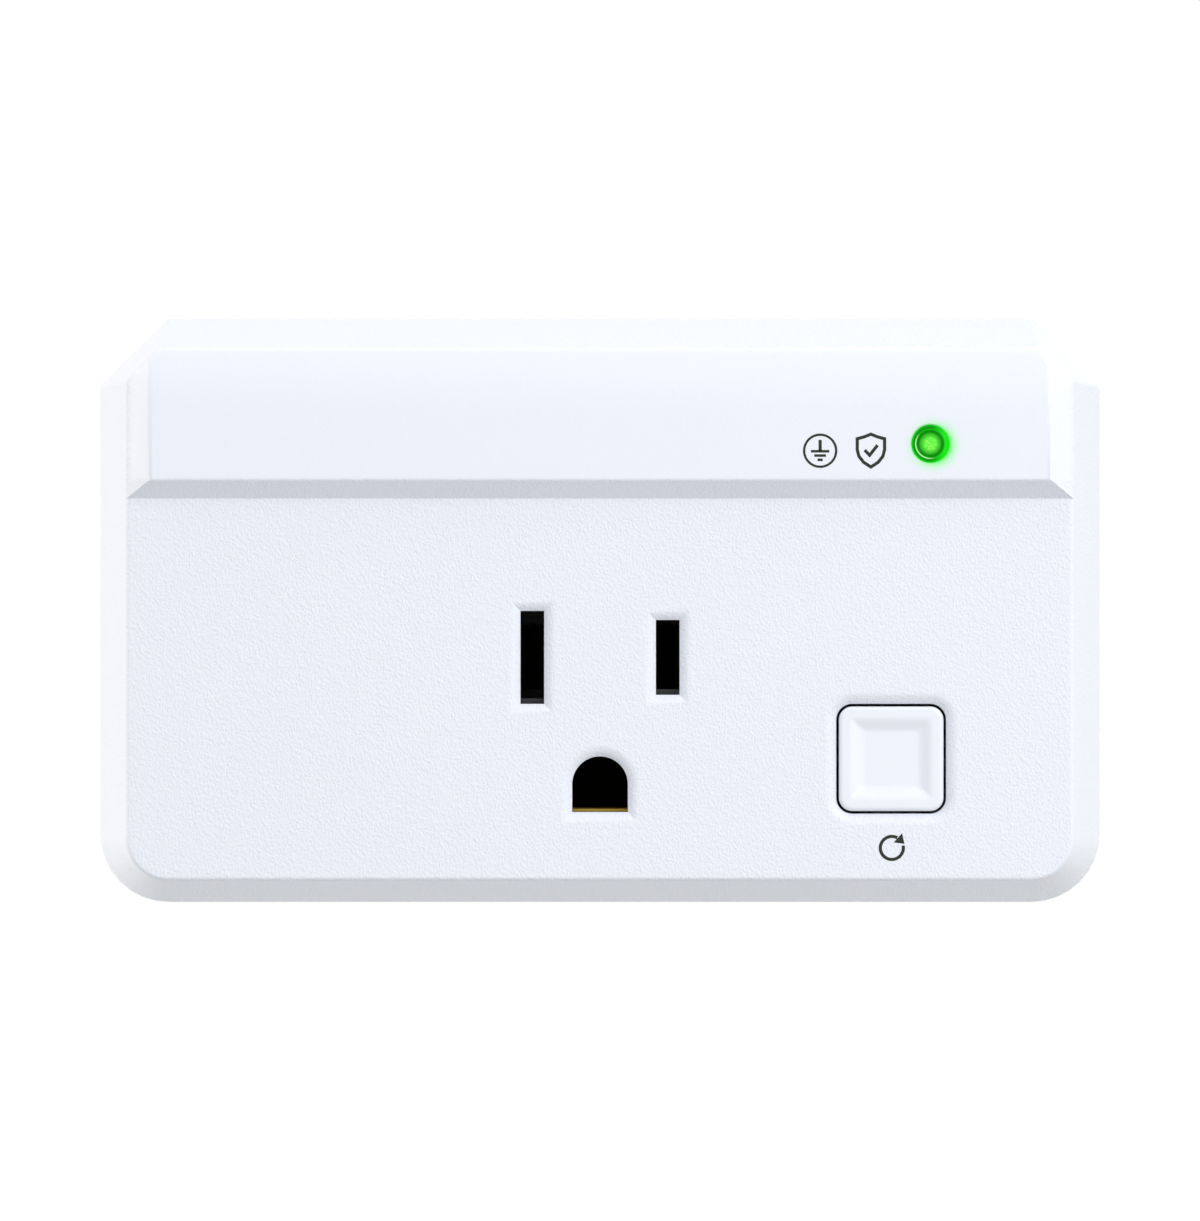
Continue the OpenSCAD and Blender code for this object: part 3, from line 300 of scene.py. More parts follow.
def soft_mouth(outline, run, fall, face_y, depth, steps=10):
    """A cutter for a hole whose rim leaves the face softly and steepens to the hole's edge, over a run
    and a fall. outline(e) is the hole grown by e, and depth runs inward from the face: along +Y where
    it is positive."""
    inward = math.copysign(1, depth)
    rings = [[(px, face_y - inward * CUTTER_START, pz) for px, pz in outline(run + SHAVING)]]
    for k in range(steps + 1):
        grown, sunk = run * (1 - k / steps), fall * (k / steps) ** 2
        rings.append([(px, face_y + inward * sunk, pz) for px, pz in outline(grown + SHAVING)])
    rings.append([(px, face_y + depth, pz) for px, pz in outline(SHAVING)])
    return loft(rings)


def slot_outline(x, height, width=SLOT_W, middle_z=SLOT_Z):
    """Outline of a straight-sided slot, as a function of how far it is grown."""
    def outline(e):
        w, h = width / 2 + e, height / 2 + e
        return [(x - w, middle_z - h), (x + w, middle_z - h), (x + w, middle_z + h),
                (x - w, middle_z + h)]
    return outline


def circle_outline(x, z, radius, count=64):
    """Outline of a round hole, as a function of how far it is grown."""
    def outline(e):
        return [(x + (radius + e) * math.cos(math.tau * k / count),
                 z + (radius + e) * math.sin(math.tau * k / count)) for k in range(count)]
    return outline


def ground_outline(e, steps=32):
    """The ground hole: an arch over a square foot."""
    r = GROUND_R + e
    arch = [(r * math.cos(math.pi * k / steps), GROUND_Z + r * math.sin(math.pi * k / steps))
            for k in range(steps + 1)]
    return arch + [(-r, GROUND_Z - r), (r, GROUND_Z - r)]


def rounded_square(width, corner, steps=12):
    """Outline of a rounded square about the button's middle."""
    reach, turns = width / 2 - corner, []
    for quarter, (sx, sz) in enumerate([(1, 1), (-1, 1), (-1, -1), (1, -1)]):
        for k in range(steps + 1):
            angle = math.radians(90 * (quarter + k / steps))
            turns.append((BUTTON_X + sx * reach + corner * math.cos(angle),
                          BUTTON_Z + sz * reach + corner * math.sin(angle)))
    return turns


def button_hole_outline(e):
    """The button's square hole, grown by e."""
    return rounded_square(BUTTON_HOLE + 2 * e, BUTTON_HOLE_CORNER + e)


def placed(mesh, name, body, replaced, material, crease=30):
    """Puts a finished mesh in the scene, smooth apart from its real edges, riding on its body."""
    mesh.shade_smooth()
    mesh.set_sharp_from_angle(angle=math.radians(crease))
    mesh.materials.clear()
    mesh.materials.append(material)
    piece = bpy.data.objects.new(name, mesh)
    scene.collection.objects.link(piece)
    even = piece.modifiers.new("even_shading", "WEIGHTED_NORMAL")
    even.keep_sharp = True
    even.weight = 80
    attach(piece, body)
    if replaced:
        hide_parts(*replaced)


shell_plastic, tree, shader = new_material("white_abs_moulding")
place, (x, y, z) = position(tree)
plain_white = mottle(tree, shader, place, SHELL_WHITE, 0.003, 9 * MM)
above = ranged(tree, z, BAND_EDGE_Z - 0.1 * MM, BAND_EDGE_Z + 0.2 * MM)
proud = ranged(tree, y, BAND_FACE_Y + 0.1 * MM, BAND_FACE_Y - 0.1 * MM)
band_face = maths(tree, "MULTIPLY", above, proud)
embossed(tree, shader, spark_finish(tree, place, PANEL_GRAIN), PANEL_RELIEF,
         ranged(tree, band_face, 0, 1, 1, BAND_RELIEF_SHARE))
# painted glow: the plastic round the status light's hole is tinted green and given a green emission,
# strongest on its right, for the light shining through it
away = node(tree, "CombineXYZ", {0: x, 2: z}).outputs[0]
reach = node(tree, "VectorMath", {0: away, 1: (LED_X + GLOW_RIGHT, 0, LED_Z - GLOW_DOWN)},
             operation="DISTANCE").outputs["Value"]
glow = maths(tree, "MULTIPLY", ranged(tree, reach, GLOW_START, GLOW_END, 1, 0), band_face)
glow = maths(tree, "POWER", glow, 2.0)
set_inputs(tree, shader, {
    "Base Color": blended(tree, glow, plain_white, (0.05, 0.70, 0.05, 1)),
    "Roughness": ranged(tree, band_face, 0, 1, PANEL_ROUGH, BAND_ROUGH),
    "Specular IOR Level": ABS_SPECULAR,
    "Emission Color": (0.0, 0.30, 0.0, 1), "Emission Strength": glow})

panel_holes = [(slot_outline(SLOT_X, LINE_SLOT_H), PANEL_THICK),
               (slot_outline(-SLOT_X, NEUTRAL_SLOT_H), PANEL_THICK),
               (ground_outline, PANEL_THICK), (button_hole_outline, COLLAR_DEPTH)]
front_mouths = [soft_mouth(outline, MOUTH_RUN, MOUTH_FALL, PANEL_Y, depth)
                for outline, depth in panel_holes]
front_mouths.append(soft_mouth(circle_outline(LED_X, LED_Z, LED_HOLE_R), LED_MOUTH_ROUND,
                               LED_MOUTH_ROUND, BAND_Y, LED_HOLE_DEPTH))
placed(carved(cad_shape("front_cover"), front_mouths), "front_cover_shell", "casing",
       ["front_cover"], shell_plastic, crease=12)


# PICTOGRAMS
# Plain symbols, pad-printed in near-black ink where the device carries its wording: an earth mark and
# a shield with a tick beside the status light, and a round arrow under the reset button.
INK_THICK = 0.015 * MM
INK_LINE, EARTH_RING_LINE, EARTH_BAR_LINE = 0.30 * MM, 0.22 * MM, 0.24 * MM
MITRE_LEAST = 0.4
SHIELD_AT = (25.35 * MM, 14.95 * MM)
EARTH_AT = (20.6 * MM, 14.95 * MM)
ARROW_AT = (27.35 * MM, -22.25 * MM)
# in millimetres from here on, as the outlines below are
EARTH_RING_R, ARROW_R, ARROW_HEAD_R, ARROW_TIP_TURN = 1.5, 1.08, 0.62, math.radians(48)


def ink_line(points, face_y, centre, width=INK_LINE, closed=False):
    """A printed line through points given in millimetres about a centre, mitred at its corners."""
    spots = [Vector((px * MM, pz * MM)) for px, pz in points]
    count, rings = len(spots), []
    for k, spot in enumerate(spots):
        before = spots[k - 1] if closed or k else spot - (spots[1] - spot)
        after = spots[(k + 1) % count] if closed or k < count - 1 else spot + (spot - spots[k - 1])
        one, two = (spot - before).normalized(), (after - spot).normalized()
        square = Vector((-one.y - two.y, one.x + two.x)).normalized()
        square *= width / 2 / max(MITRE_LEAST, square.dot(Vector((-one.y, one.x))))
        left, right = spot + square, spot - square
        rings.append([(centre[0] + side.x, face_y - lift, centre[1] + side.y)
                      for side, lift in ((left, INK_THICK), (right, INK_THICK), (right, 0), (left, 0))])
    return loft(rings, closed)


def ink_patch(points, face_y, centre):
    """A printed area, outlined in millimetres about a centre."""
    return loft([[(centre[0] + px * MM, face_y - lift, centre[1] + pz * MM) for px, pz in points]
                 for lift in (0, INK_THICK)])


def arc_points(radius, start, end, count):
    """Points along an arc between two turns, in degrees."""
    return [(radius * math.cos(math.radians(start + (end - start) * k / count)),
             radius * math.sin(math.radians(start + (end - start) * k / count)))
            for k in range(count + 1)]


ink, tree, shader = new_material("black_pad_print")
place, _ = position(tree)
mottle(tree, shader, place, (0.017, 0.021, 0.013), 0.25, 0.3 * MM)
set_inputs(tree, shader, {"Roughness": 0.55, "Specular IOR Level": 0.25})

shield_side = [(0.62, 1.30), (1.28, 1.12), (1.28, 0.10), (1.12, -0.52), (0.68, -1.08)]
shield = [(0, 1.55)] + shield_side + [(0, -1.52)] + [(-px, pz) for px, pz in shield_side[::-1]]
band_marks = [
    ink_line(shield, BAND_Y, SHIELD_AT, closed=True),
    ink_line([(-0.58, 0.06), (-0.12, -0.42), (0.62, 0.52)], BAND_Y, SHIELD_AT),
    ink_line(arc_points(EARTH_RING_R, 0, 360, 48)[:-1], BAND_Y, EARTH_AT, EARTH_RING_LINE, closed=True),
    ink_line([(0, 1.02), (0, 0.0)], BAND_Y, EARTH_AT)]
band_marks += [ink_line([(-px, pz), (px, pz)], BAND_Y, EARTH_AT, EARTH_BAR_LINE)
               for px, pz in ((0.86, -0.05), (0.55, -0.45), (0.24, -0.85))]
placed(gathered(band_marks, "band_marks"), "band_pictograms", "casing", [], ink)
arrow_head = [(ARROW_R * math.cos(ARROW_TIP_TURN) + ARROW_HEAD_R * math.cos(ARROW_TIP_TURN + a),
               ARROW_R * math.sin(ARROW_TIP_TURN) + ARROW_HEAD_R * math.sin(ARROW_TIP_TURN + a))
              for a in (math.radians(-90), math.radians(20), math.radians(160))]
panel_marks = [ink_line(arc_points(ARROW_R, 62, 372, 40), PANEL_Y, ARROW_AT),
               ink_patch(arrow_head, PANEL_Y, ARROW_AT)]
placed(gathered(panel_marks, "panel_marks"), "reset_pictogram", "casing", [], ink)


# REAR COVER
# White ABS like the front cover, with the same spark finish. It holds everything inside, lies against
# the wall plate, and has counterbores for the case screws and openings for the blades and the pin.
REAR_WHITE = (0.79, 0.82, 0.885)
REAR_GRAIN, REAR_RELIEF = 0.5 * MM, 0.014 * MM
REAR_MOUTH_ROUND = 0.28 * MM
SCREW_X, SCREW_TOP_Z, SCREW_LOW_Z = 39.4 * MM, 18.8 * MM, -18.9 * MM
COUNTERBORE_R, COUNTERBORE_DEPTH = 3.1 * MM, 4.9 * MM
REAR_WALL_CUT = 2.5 * MM
BLADE_HOLE_W, BLADE_HOLE_H, PIN_HOLE_R = 1.7 * MM, 6.55 * MM, 2.8 * MM

rear_plastic, tree, shader = new_material("white_abs_rear_moulding")
place, _ = position(tree)
mottle(tree, shader, place, REAR_WHITE, 0.008, 8 * MM)
embossed(tree, shader, spark_finish(tree, place, REAR_GRAIN), REAR_RELIEF)
set_inputs(tree, shader, {"Roughness": 0.58, "Specular IOR Level": ABS_SPECULAR})

case_screw_places = [(sx * SCREW_X, sz) for sx in (-1, 1) for sz in (SCREW_TOP_Z, SCREW_LOW_Z)]
rear_holes = [(circle_outline(sx, sz, COUNTERBORE_R), COUNTERBORE_DEPTH)
              for sx, sz in case_screw_places]
rear_holes += [(slot_outline(sx, BLADE_HOLE_H, BLADE_HOLE_W), REAR_WALL_CUT)
               for sx in (-SLOT_X, SLOT_X)]
rear_holes.append((circle_outline(0, GROUND_Z, PIN_HOLE_R), REAR_WALL_CUT))
rear_mouths = [soft_mouth(outline, REAR_MOUTH_ROUND, REAR_MOUTH_ROUND, 0, -depth, steps=8)
               for outline, depth in rear_holes]
placed(carved(cad_shape("rear_cover"), rear_mouths), "rear_cover_shell", "casing",
       ["rear_cover"], rear_plastic, crease=20)


# SCREWS
# Zinc-plated steel screws with pan heads, cross recesses and a rolled thread-forming thread. Four long
# ones close the case, and three short ones each hold the blade plate, the contact block and the board.
SCREW_SIDES, RINGS_PER_PITCH, RIB_SHARE = 32, 6, 0.32
SMALL_SCREW = {"shank_r": 1.25 * MM, "head_r": 2.2 * MM, "head_height": 1.4 * MM, "pitch": 1.0 * MM}
METAL_TARNISH, METAL_RIPPLE = 0.05, 0.002 * MM


def screw_mesh(length, shank_r, head_r, head_height, pitch):
    """A screw whose head seats at 0 and whose tip points to +1, as rings of (radius, travel, rib)."""
    crown = [(0.30, 1.0), (0.55, 0.97), (0.74, 0.88), (0.88, 0.72), (0.97, 0.48), (1.0, 0.2),
             (0.985, 0.02)]
    rings = [(share * head_r, -rise * head_height, 0) for share, rise in crown]
    core, crest = shank_r * 0.80, shank_r * 0.20
    rings += [(core * 1.12, 0, 0), (core, 0.25 * MM, 0)]
    travel, end = 0.5 * MM, length - shank_r * 0.8
    while travel < end:
        fade = min(1, (travel - 0.4 * MM) / pitch, (end - travel) / pitch + 0.1)
        rings.append((core, travel, crest * fade))
        travel += pitch / RINGS_PER_PITCH
    rings += [(core, end, 0), (core * 0.92, end + (length - end) * 0.5, 0), (core * 0.55, length, 0)]
    outlines = []
    for radius, along, rib in rings:
        outline = []
        for k in range(SCREW_SIDES):
            phase = (along / pitch - k / SCREW_SIDES) % 1
            r = radius + rib * max(0, 1 - abs(phase - 0.5) / RIB_SHARE)
            turn = math.tau * k / SCREW_SIDES
            outline.append((r * math.cos(turn), along, r * math.sin(turn)))
        outlines.append(outline)
    recess = []
    for share, rise in ((0.62, 1.3), (0.62, 0.99), (0.50, 0.55), (0.24, 0.12)):
        a, b = share * head_r, share * head_r * 0.26
        plus = [(b, b), (a, b), (a, -b), (b, -b), (b, -a), (-b, -a), (-b, -b), (-a, -b), (-a, b),
                (-b, b), (-b, a), (b, a)]
        recess.append([(px, -rise * head_height, pz) for px, pz in plus])
    return carved(loft(outlines), [loft(recess)])


def screws(name, node_name, places, seat, tip, **sizes):
    """Copies one screw to each place. seat and tip are stand-offs from the wall."""
    made, copies = screw_mesh(abs(tip - seat), **sizes), []
    for index, (sx, sz) in enumerate(places):
        copy = made.copy()
        flip = Matrix.Scale(-1 if tip > seat else 1, 4, (0, 1, 0))
        twist = Matrix.Rotation(math.radians(23 + 67 * index), 4, "Y")
        copy.transform(Matrix.Translation((sx, -seat, sz)) @ flip @ twist)
        copies.append(copy)
    placed(gathered(copies, name), name, "casing", [node_name], screw_zinc, crease=35)


def metal(name, colour, rough, drawn=(1, 1, 1), size=0.5 * MM):
    """A metal whose grain runs along the axis with the smallest share in drawn."""
    material, tree, shader = new_material(name)
    place, _ = position(tree)
    mottle(tree, shader, place, colour, METAL_TARNISH, 3 * MM)
    stretched = node(tree, "Mapping", {"Vector": place, "Scale": drawn}).outputs[0]
    lines = node(tree, "TexNoise", {"Vector": stretched, "Scale": 1 / size, "Detail": 3.0,
                                    "Roughness": 0.6}).outputs[0]
    embossed(tree, shader, lines, METAL_RIPPLE, 0.8)
    worn = ranged(tree, lines, CLOUD_LOW, CLOUD_HIGH, rough * 0.75, rough * 1.3)
    set_inputs(tree, shader, {"Metallic": 1.0, "Roughness": worn})
    return material


screw_zinc = metal("zinc_plated_steel", (0.60, 0.61, 0.63), 0.32, size=0.35 * MM)
screws("case_screw_set", "case_screws", case_screw_places, seat=5.0 * MM, tip=17.0 * MM,
       shank_r=1.5 * MM, head_r=2.8 * MM, head_height=2.0 * MM, pitch=1.25 * MM)
screws("retainer_screw_set", "retainer_screws",
       [(0, -1.2 * MM), (-6 * MM, -13.0 * MM), (6 * MM, -13.0 * MM)],
       seat=7.0 * MM, tip=0.85 * MM, **SMALL_SCREW)
screws("contact_screw_set", "contact_screws",
       [(0, 0.5 * MM), (-7.6 * MM, -16.99 * MM), (7.6 * MM, -16.99 * MM)],
       seat=12.4 * MM, tip=27.6 * MM, **SMALL_SCREW)
screws("board_screw_set", "board_screws",
       [(-37.8 * MM, 9.4 * MM), (-18.6 * MM, -11.7 * MM), (31.3 * MM, 9.2 * MM)],
       seat=10.0 * MM, tip=4.4 * MM, **SMALL_SCREW)


# BLADES AND GROUND PIN
# Nickel-plated brass: two blades blanked from strip, with a hole through each, and a turned pin with a
# bullet nose. Each has shoulders that the black plate clamps, and a tail for its solder joint.
NICKEL = (0.45, 0.43, 0.38)
BLADE_T, BLADE_BREAK = 1.5 * MM, 0.16 * MM
BLADE_HOLE_Y, BLADE_HOLE_R = 11.7 * MM, 1.6 * MM


def bevelled(mesh, width, segments=3, angle=30):
    """Rounds the sharp edges of a mesh."""
    body = bpy.data.objects.new("bevelled_body", mesh)
    scene.collection.objects.link(body)
    soften = body.modifiers.new("soften", "BEVEL")
    soften.width, soften.segments, soften.limit_method = width, segments, "ANGLE"
    soften.angle_limit = math.radians(angle)
    bpy.context.view_layer.update()
    solid = body.evaluated_get(bpy.context.evaluated_depsgraph_get())
    made = bpy.data.meshes.new_from_object(solid)
    bpy.data.objects.remove(body)
    return made


def blade_mesh(x):
    """One blade, outlined in millimetres of (Y, height above the slots' middle). Its drill is given as
    (distance from the strip's middle, growth), which breaks the hole's edges."""
    outline = [(17.5, 1.575), (15.9, 3.175), (-2.45, 3.175), (-2.45, 4.775), (-3.95, 4.775),
               (-3.95, -0.5), (-9.6, -0.5), (-9.6, -3.1), (-3.95, -3.1), (-3.95, -4.775),
               (-2.45, -4.775), (-2.45, -3.175), (15.9, -3.175), (17.5, -1.575)]
    sides = [[(x + side * BLADE_T / 2, py * MM, SLOT_Z + pz * MM) for py, pz in outline]
             for side in (-1, 1)]
    drill = []
    for off, grown in ((-0.9, 0.32), (-0.75, 0.17), (-0.58, 0), (0.58, 0), (0.75, 0.17), (0.9, 0.32)):
        drill.append([(x + off * MM, BLADE_HOLE_Y + (BLADE_HOLE_R + grown * MM) * math.cos(a),
                       SLOT_Z + (BLADE_HOLE_R + grown * MM) * math.sin(a))
                      for a in (math.tau * k / 48 for k in range(48))])
    return carved(bevelled(loft(sides), BLADE_BREAK), [loft(drill)])


def turned(profile, centre, count=64):
    """A body of revolution about a line along Y. The profile is (radius, Y), in millimetres."""
    return loft([[(centre[0] + radius * MM * math.cos(math.tau * k / count), along * MM,
                   centre[1] + radius * MM * math.sin(math.tau * k / count)) for k in range(count)]
                 for radius, along in profile])


blade_plating = metal("nickel_plated_blade", NICKEL, 0.34, drawn=(1, 0.08, 1), size=0.12 * MM)
placed(blade_mesh(SLOT_X), "line_blade_strip", "casing", ["line_blade"], blade_plating)
placed(blade_mesh(-SLOT_X), "neutral_blade_strip", "casing", ["neutral_blade"],
       blade_plating)

pin_profile = [(0.4, -3.95), (3.5, -3.95), (3.6, -3.85), (3.6, -2.55), (3.5, -2.45), (2.72, -2.45),
               (2.7, -2.4), (2.7, -0.08), (2.62, 0.0), (2.4, 0.0), (2.4, 18.7), (2.36, 19.0),
               (2.27, 19.35), (2.13, 19.7), (1.93, 20.05), (1.65, 20.33), (1.28, 20.51), (0.85, 20.59),
               (0.3, 20.6)]
pin_tail = loft([[(px * MM, py * MM, GROUND_Z + pz * MM)
                  for px, pz in ((-0.75, -3.1), (0.75, -3.1), (0.75, -0.5), (-0.75, -0.5))]
                 for py in (-3.9, -9.6)])
pin_plating = metal("nickel_plated_pin", NICKEL, 0.32, drawn=(1, 0.6, 1), size=0.2 * MM)
placed(gathered([turned(pin_profile, (0, GROUND_Z)), pin_tail], "pin"), "ground_pin_turned",
       "casing", ["ground_pin"], pin_plating, crease=35)


# BLADE PLATE, CONTACT BLOCK AND ITS COVER
# Black glass-filled nylon mouldings. The plate clamps the blades, and the block behind the panel holds
# the outlet's contacts, so it is what shows black through the slots.
NYLON_BLACK = (0.010, 0.010, 0.011)


def dress(material, *names):
    """Gives CAD nodes, whose shapes stay as they are, their finish."""
    for name in names:
        nodes[name].material_slots[0].material = material


def moulding(name, colour, rough, grain, relief=0.008 * MM, spread=0.04):
    """A plain moulded resin with a fine skin."""
    material, tree, shader = new_material(name)
    place, _ = position(tree)
    mottle(tree, shader, place, colour, spread, 4 * MM)
    embossed(tree, shader, spark_finish(tree, place, grain), relief)
    set_inputs(tree, shader, {"Roughness": rough})
    return material


dress(moulding("black_glass_filled_nylon", NYLON_BLACK, 0.5, 0.3 * MM),
      "blade_retainer", "contact_block", "contact_cover")


# OUTLET CONTACTS
# Folded from brass strip: two leaves for each blade slot, and two broader ones that grip the ground pin
# from above and below. The brass is painted nearly black, as dull oxide and painted shade, and only the
# edge behind the ground hole is bright brass, a painted highlight where light falls on it.
BRASS, BRASS_OXIDE_IN_SHADE = (0.50, 0.33, 0.06, 1), (0.0050, 0.0045, 0.0012)
LIT_EDGE_Z, LIT_EDGE_Y = -18.35 * MM, -24.0 * MM
LIT_EDGE_ROUGH, DULL_ROUGH = 0.38, 0.8

contact_brass, tree, shader = new_material("rolled_contact_brass")
place, (_, y, z) = position(tree)
# painted highlight and shade: the brass is bright only on the low, front edge behind the ground hole,
# where light falls, and nearly black elsewhere
low = ranged(tree, z, LIT_EDGE_Z + 0.05 * MM, LIT_EDGE_Z - 0.05 * MM)
front = ranged(tree, y, LIT_EDGE_Y + 0.5 * MM, LIT_EDGE_Y - 0.5 * MM)
painted_lit_edge = maths(tree, "MULTIPLY", low, front)
oxide_in_painted_shade = shaded(tree, BRASS_OXIDE_IN_SHADE, drift(tree, place, 0.8 * MM, 0.7, 1.3, detail=4.0))
rolled = node(tree, "Mapping", {"Vector": place, "Scale": (0.1, 1, 1)}).outputs[0]
streaks = node(tree, "TexNoise", {"Vector": rolled, "Scale": 1 / (0.15 * MM), "Detail": 3.0})
embossed(tree, shader, streaks.outputs[0], 0.003 * MM, 0.6)
set_inputs(tree, shader, {
    "Base Color": blended(tree, painted_lit_edge, oxide_in_painted_shade, BRASS), "Metallic": painted_lit_edge,
    "Roughness": ranged(tree, painted_lit_edge, 0, 1, DULL_ROUGH, LIT_EDGE_ROUGH), "Specular IOR Level": 0.05})
dress(contact_brass, "line_contact", "neutral_contact", "ground_contact")


# RESET BUTTON
# A separate white ABS cap, a little glossier than the cover, with a square finger dish. Its flange
# stops it behind the panel, and the stem in its hollow pushes the breaker's plunger.
BUTTON_WHITE = (0.81, 0.842, 0.91)
# in millimetres: the cap's width, corner and stand-off, the round of its upper edge, and the dish,
# given as (width, stand-off) at its rim and at its floor
CAP_WIDTH, CAP_CORNER, CAP_TOP, CAP_EDGE_R = 9.8, 1.25, 30.5, 0.42
DISH_RIM, DISH_FLOOR, DISH_CORNER = (7.9, CAP_TOP), (4.9, 29.9), 0.30
EDGE_STEPS, DISH_STEPS = 6, 10


def cap_ring(width, corner, standoff):
    """One outline of the cap: width and corner radius in millimetres, at a stand-off."""
    return [(px, -standoff * MM, pz) for px, pz in rounded_square(width * MM, corner * MM)]


cap = [cap_ring(2.8, 1.4, 19.85), cap_ring(3.1, 1.55, 19.9), cap_ring(3.2, 1.6, 20.05),
       cap_ring(3.2, 1.6, 27.95), cap_ring(3.35, 1.67, 28.2), cap_ring(3.8, 1.6, 28.35),
       cap_ring(7.2, 0.55, 28.35), cap_ring(7.4, 0.6, 28.15), cap_ring(7.4, 0.6, 21.2),
       cap_ring(7.7, 0.7, 21.0), cap_ring(11.4, 2.05, 21.0), cap_ring(11.6, 2.15, 21.1),
       cap_ring(11.6, 2.15, 22.1), cap_ring(11.4, 2.05, 22.2), cap_ring(10.0, 1.35, 22.2),
       cap_ring(CAP_WIDTH, CAP_CORNER, 22.4)]
for k in range(EDGE_STEPS + 1):
    turn = math.radians(90 * k / EDGE_STEPS)
    drop = CAP_EDGE_R * (1 - math.cos(turn))
    cap.append(cap_ring(CAP_WIDTH - 2 * drop, CAP_CORNER - drop,
                        CAP_TOP - CAP_EDGE_R * (1 - math.sin(turn))))
for k in range(DISH_STEPS + 1):
    share = k / DISH_STEPS
    cap.append(cap_ring(DISH_RIM[0] + (DISH_FLOOR[0] - DISH_RIM[0]) * share, DISH_CORNER,
                        DISH_RIM[1] + (DISH_FLOOR[1] - DISH_RIM[1]) * share * share * (3 - 2 * share)))

button_plastic, tree, shader = new_material("white_abs_button_cap")
place, _ = position(tree)
mottle(tree, shader, place, BUTTON_WHITE, 0.005, 5 * MM)
embossed(tree, shader, spark_finish(tree, place, 0.4 * MM), 0.004 * MM)
set_inputs(tree, shader, {"Roughness": 0.42, "Specular IOR Level": ABS_SPECULAR})
placed(loft(cap), "reset_button_cap", "button", ["reset_button"], button_plastic,
       crease=40)


# BUTTON SPRING
# A coil of spring wire round the stem, between the breaker's case and the cap, with its end turns laid
# flat.
SPRING_R, WIRE_R, SPRING_LOW, SPRING_HIGH = 2.75 * MM, 0.25 * MM, 19.8 * MM, 28.05 * MM
SPRING_TURNS, FLAT_TURNS, PER_TURN, WIRE_SIDES = 5, 0.75, 28, 10

spring_rings = []
for k in range(SPRING_TURNS * PER_TURN + 1):
    turn = math.tau * k / PER_TURN
    share = min(1, max(0, (k / PER_TURN - FLAT_TURNS) / (SPRING_TURNS - 2 * FLAT_TURNS)))
    along = -(SPRING_LOW + (SPRING_HIGH - SPRING_LOW) * share)
    out = Vector((math.cos(turn), 0, math.sin(turn)))
    centre = Vector((BUTTON_X, along, BUTTON_Z)) + SPRING_R * out
    spring_rings.append([tuple(centre + WIRE_R * (math.cos(a) * out + Vector((0, math.sin(a), 0))))
                         for a in (math.tau * j / WIRE_SIDES for j in range(WIRE_SIDES))])
spring_mesh = loft(spring_rings)
spring_mesh.shade_smooth()
spring_mesh.set_sharp_from_angle(angle=math.radians(60))
spring_mesh.materials.append(metal("drawn_spring_wire", (0.55, 0.56, 0.58), 0.28, size=0.2 * MM))
spring = bpy.data.objects.new("button_spring_coil", spring_mesh)
scene.collection.objects.link(spring)
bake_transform(spring)
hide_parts("button_spring")


# CIRCUIT BREAKER
# A black phenolic case on a brown laminate base. Brass terminals come out at both sides, and a bimetal
# arm with silver contacts lies under the plunger, which is cream nylon.
SHEET_DRAWN, SHEET_GRAIN = (0.1, 1, 1), 0.15 * MM

dress(moulding("black_phenolic", (0.012, 0.012, 0.013), 0.42, 0.35 * MM), "breaker_case")
laminate, tree, shader = new_material("brown_phenolic_laminate")
place, _ = position(tree)
mottle(tree, shader, place, (0.16, 0.045, 0.02), 0.18, 1.2 * MM)
cloth = node(tree, "TexWave", {"Vector": place, "Scale": 900.0, "Distortion": 2.0, "Detail": 2.0},
             bands_direction="Y")
embossed(tree, shader, cloth.outputs["Fac"], 0.01 * MM, 0.5)
set_inputs(tree, shader, {"Roughness": 0.5})
dress(laminate, "breaker_base")
dress(moulding("cream_nylon", (0.66, 0.60, 0.48), 0.4, 0.3 * MM, relief=0.004 * MM),
      "breaker_plunger")
dress(metal("bimetal_sheet", (0.50, 0.47, 0.42), 0.36, SHEET_DRAWN, SHEET_GRAIN), "breaker_bimetal")
dress(metal("terminal_brass", (0.70, 0.50, 0.16), 0.34, SHEET_DRAWN, SHEET_GRAIN),
      "breaker_line_terminal", "breaker_load_terminal")
dress(metal("silver_contact", (0.80, 0.79, 0.76), 0.3, size=0.3 * MM), "breaker_contacts")


# CIRCUIT BOARD
# Glass-epoxy laminate under green solder mask, held by three screws on the rear cover's posts. The
# copper under the mask shows as paler paths, upright in some blocks of the board and level in others.
MASK_GREEN, COPPER_GREEN = (0.004, 0.070, 0.028, 1), (0.014, 0.165, 0.062, 1)
PATH_STEP, PATH_HALF, PATH_EDGE = 1.6 * MM, 0.34 * MM, 0.03 * MM
BLOCKS_PER_METRE, WEAVE_PER_METRE = 110.0, 620.0

board_mask, tree, shader = new_material("green_solder_mask")
place, (x, _, z) = position(tree)
flat = node(tree, "CombineXYZ", {0: x, 1: z}).outputs[0]
blocks = node(tree, "TexVoronoi", {"Vector": flat, "Scale": BLOCKS_PER_METRE, "Randomness": 0.7},
              distance="CHEBYCHEV")
pick = node(tree, "SeparateColor", {0: blocks.outputs["Color"]}).outputs[0]
off_path = node(tree, "Mix", {0: maths(tree, "GREATER_THAN", pick, 0.5),
                              2: maths(tree, "PINGPONG", z, PATH_STEP / 2),
                              3: maths(tree, "PINGPONG", x, PATH_STEP / 2)}).outputs[0]
copper = ranged(tree, off_path, PATH_HALF + PATH_EDGE, PATH_HALF - PATH_EDGE)
embossed(tree, shader, copper, 0.03 * MM, 0.7)
weave = node(tree, "TexWave", {"Vector": place, "Scale": WEAVE_PER_METRE, "Distortion": 1.0},
             bands_direction="DIAGONAL").outputs["Fac"]
set_inputs(tree, shader, {"Base Color": blended(tree, copper, MASK_GREEN, COPPER_GREEN),
                          "Roughness": ranged(tree, weave, 0, 1, 0.26, 0.4)})
dress(board_mask, "circuit_board")


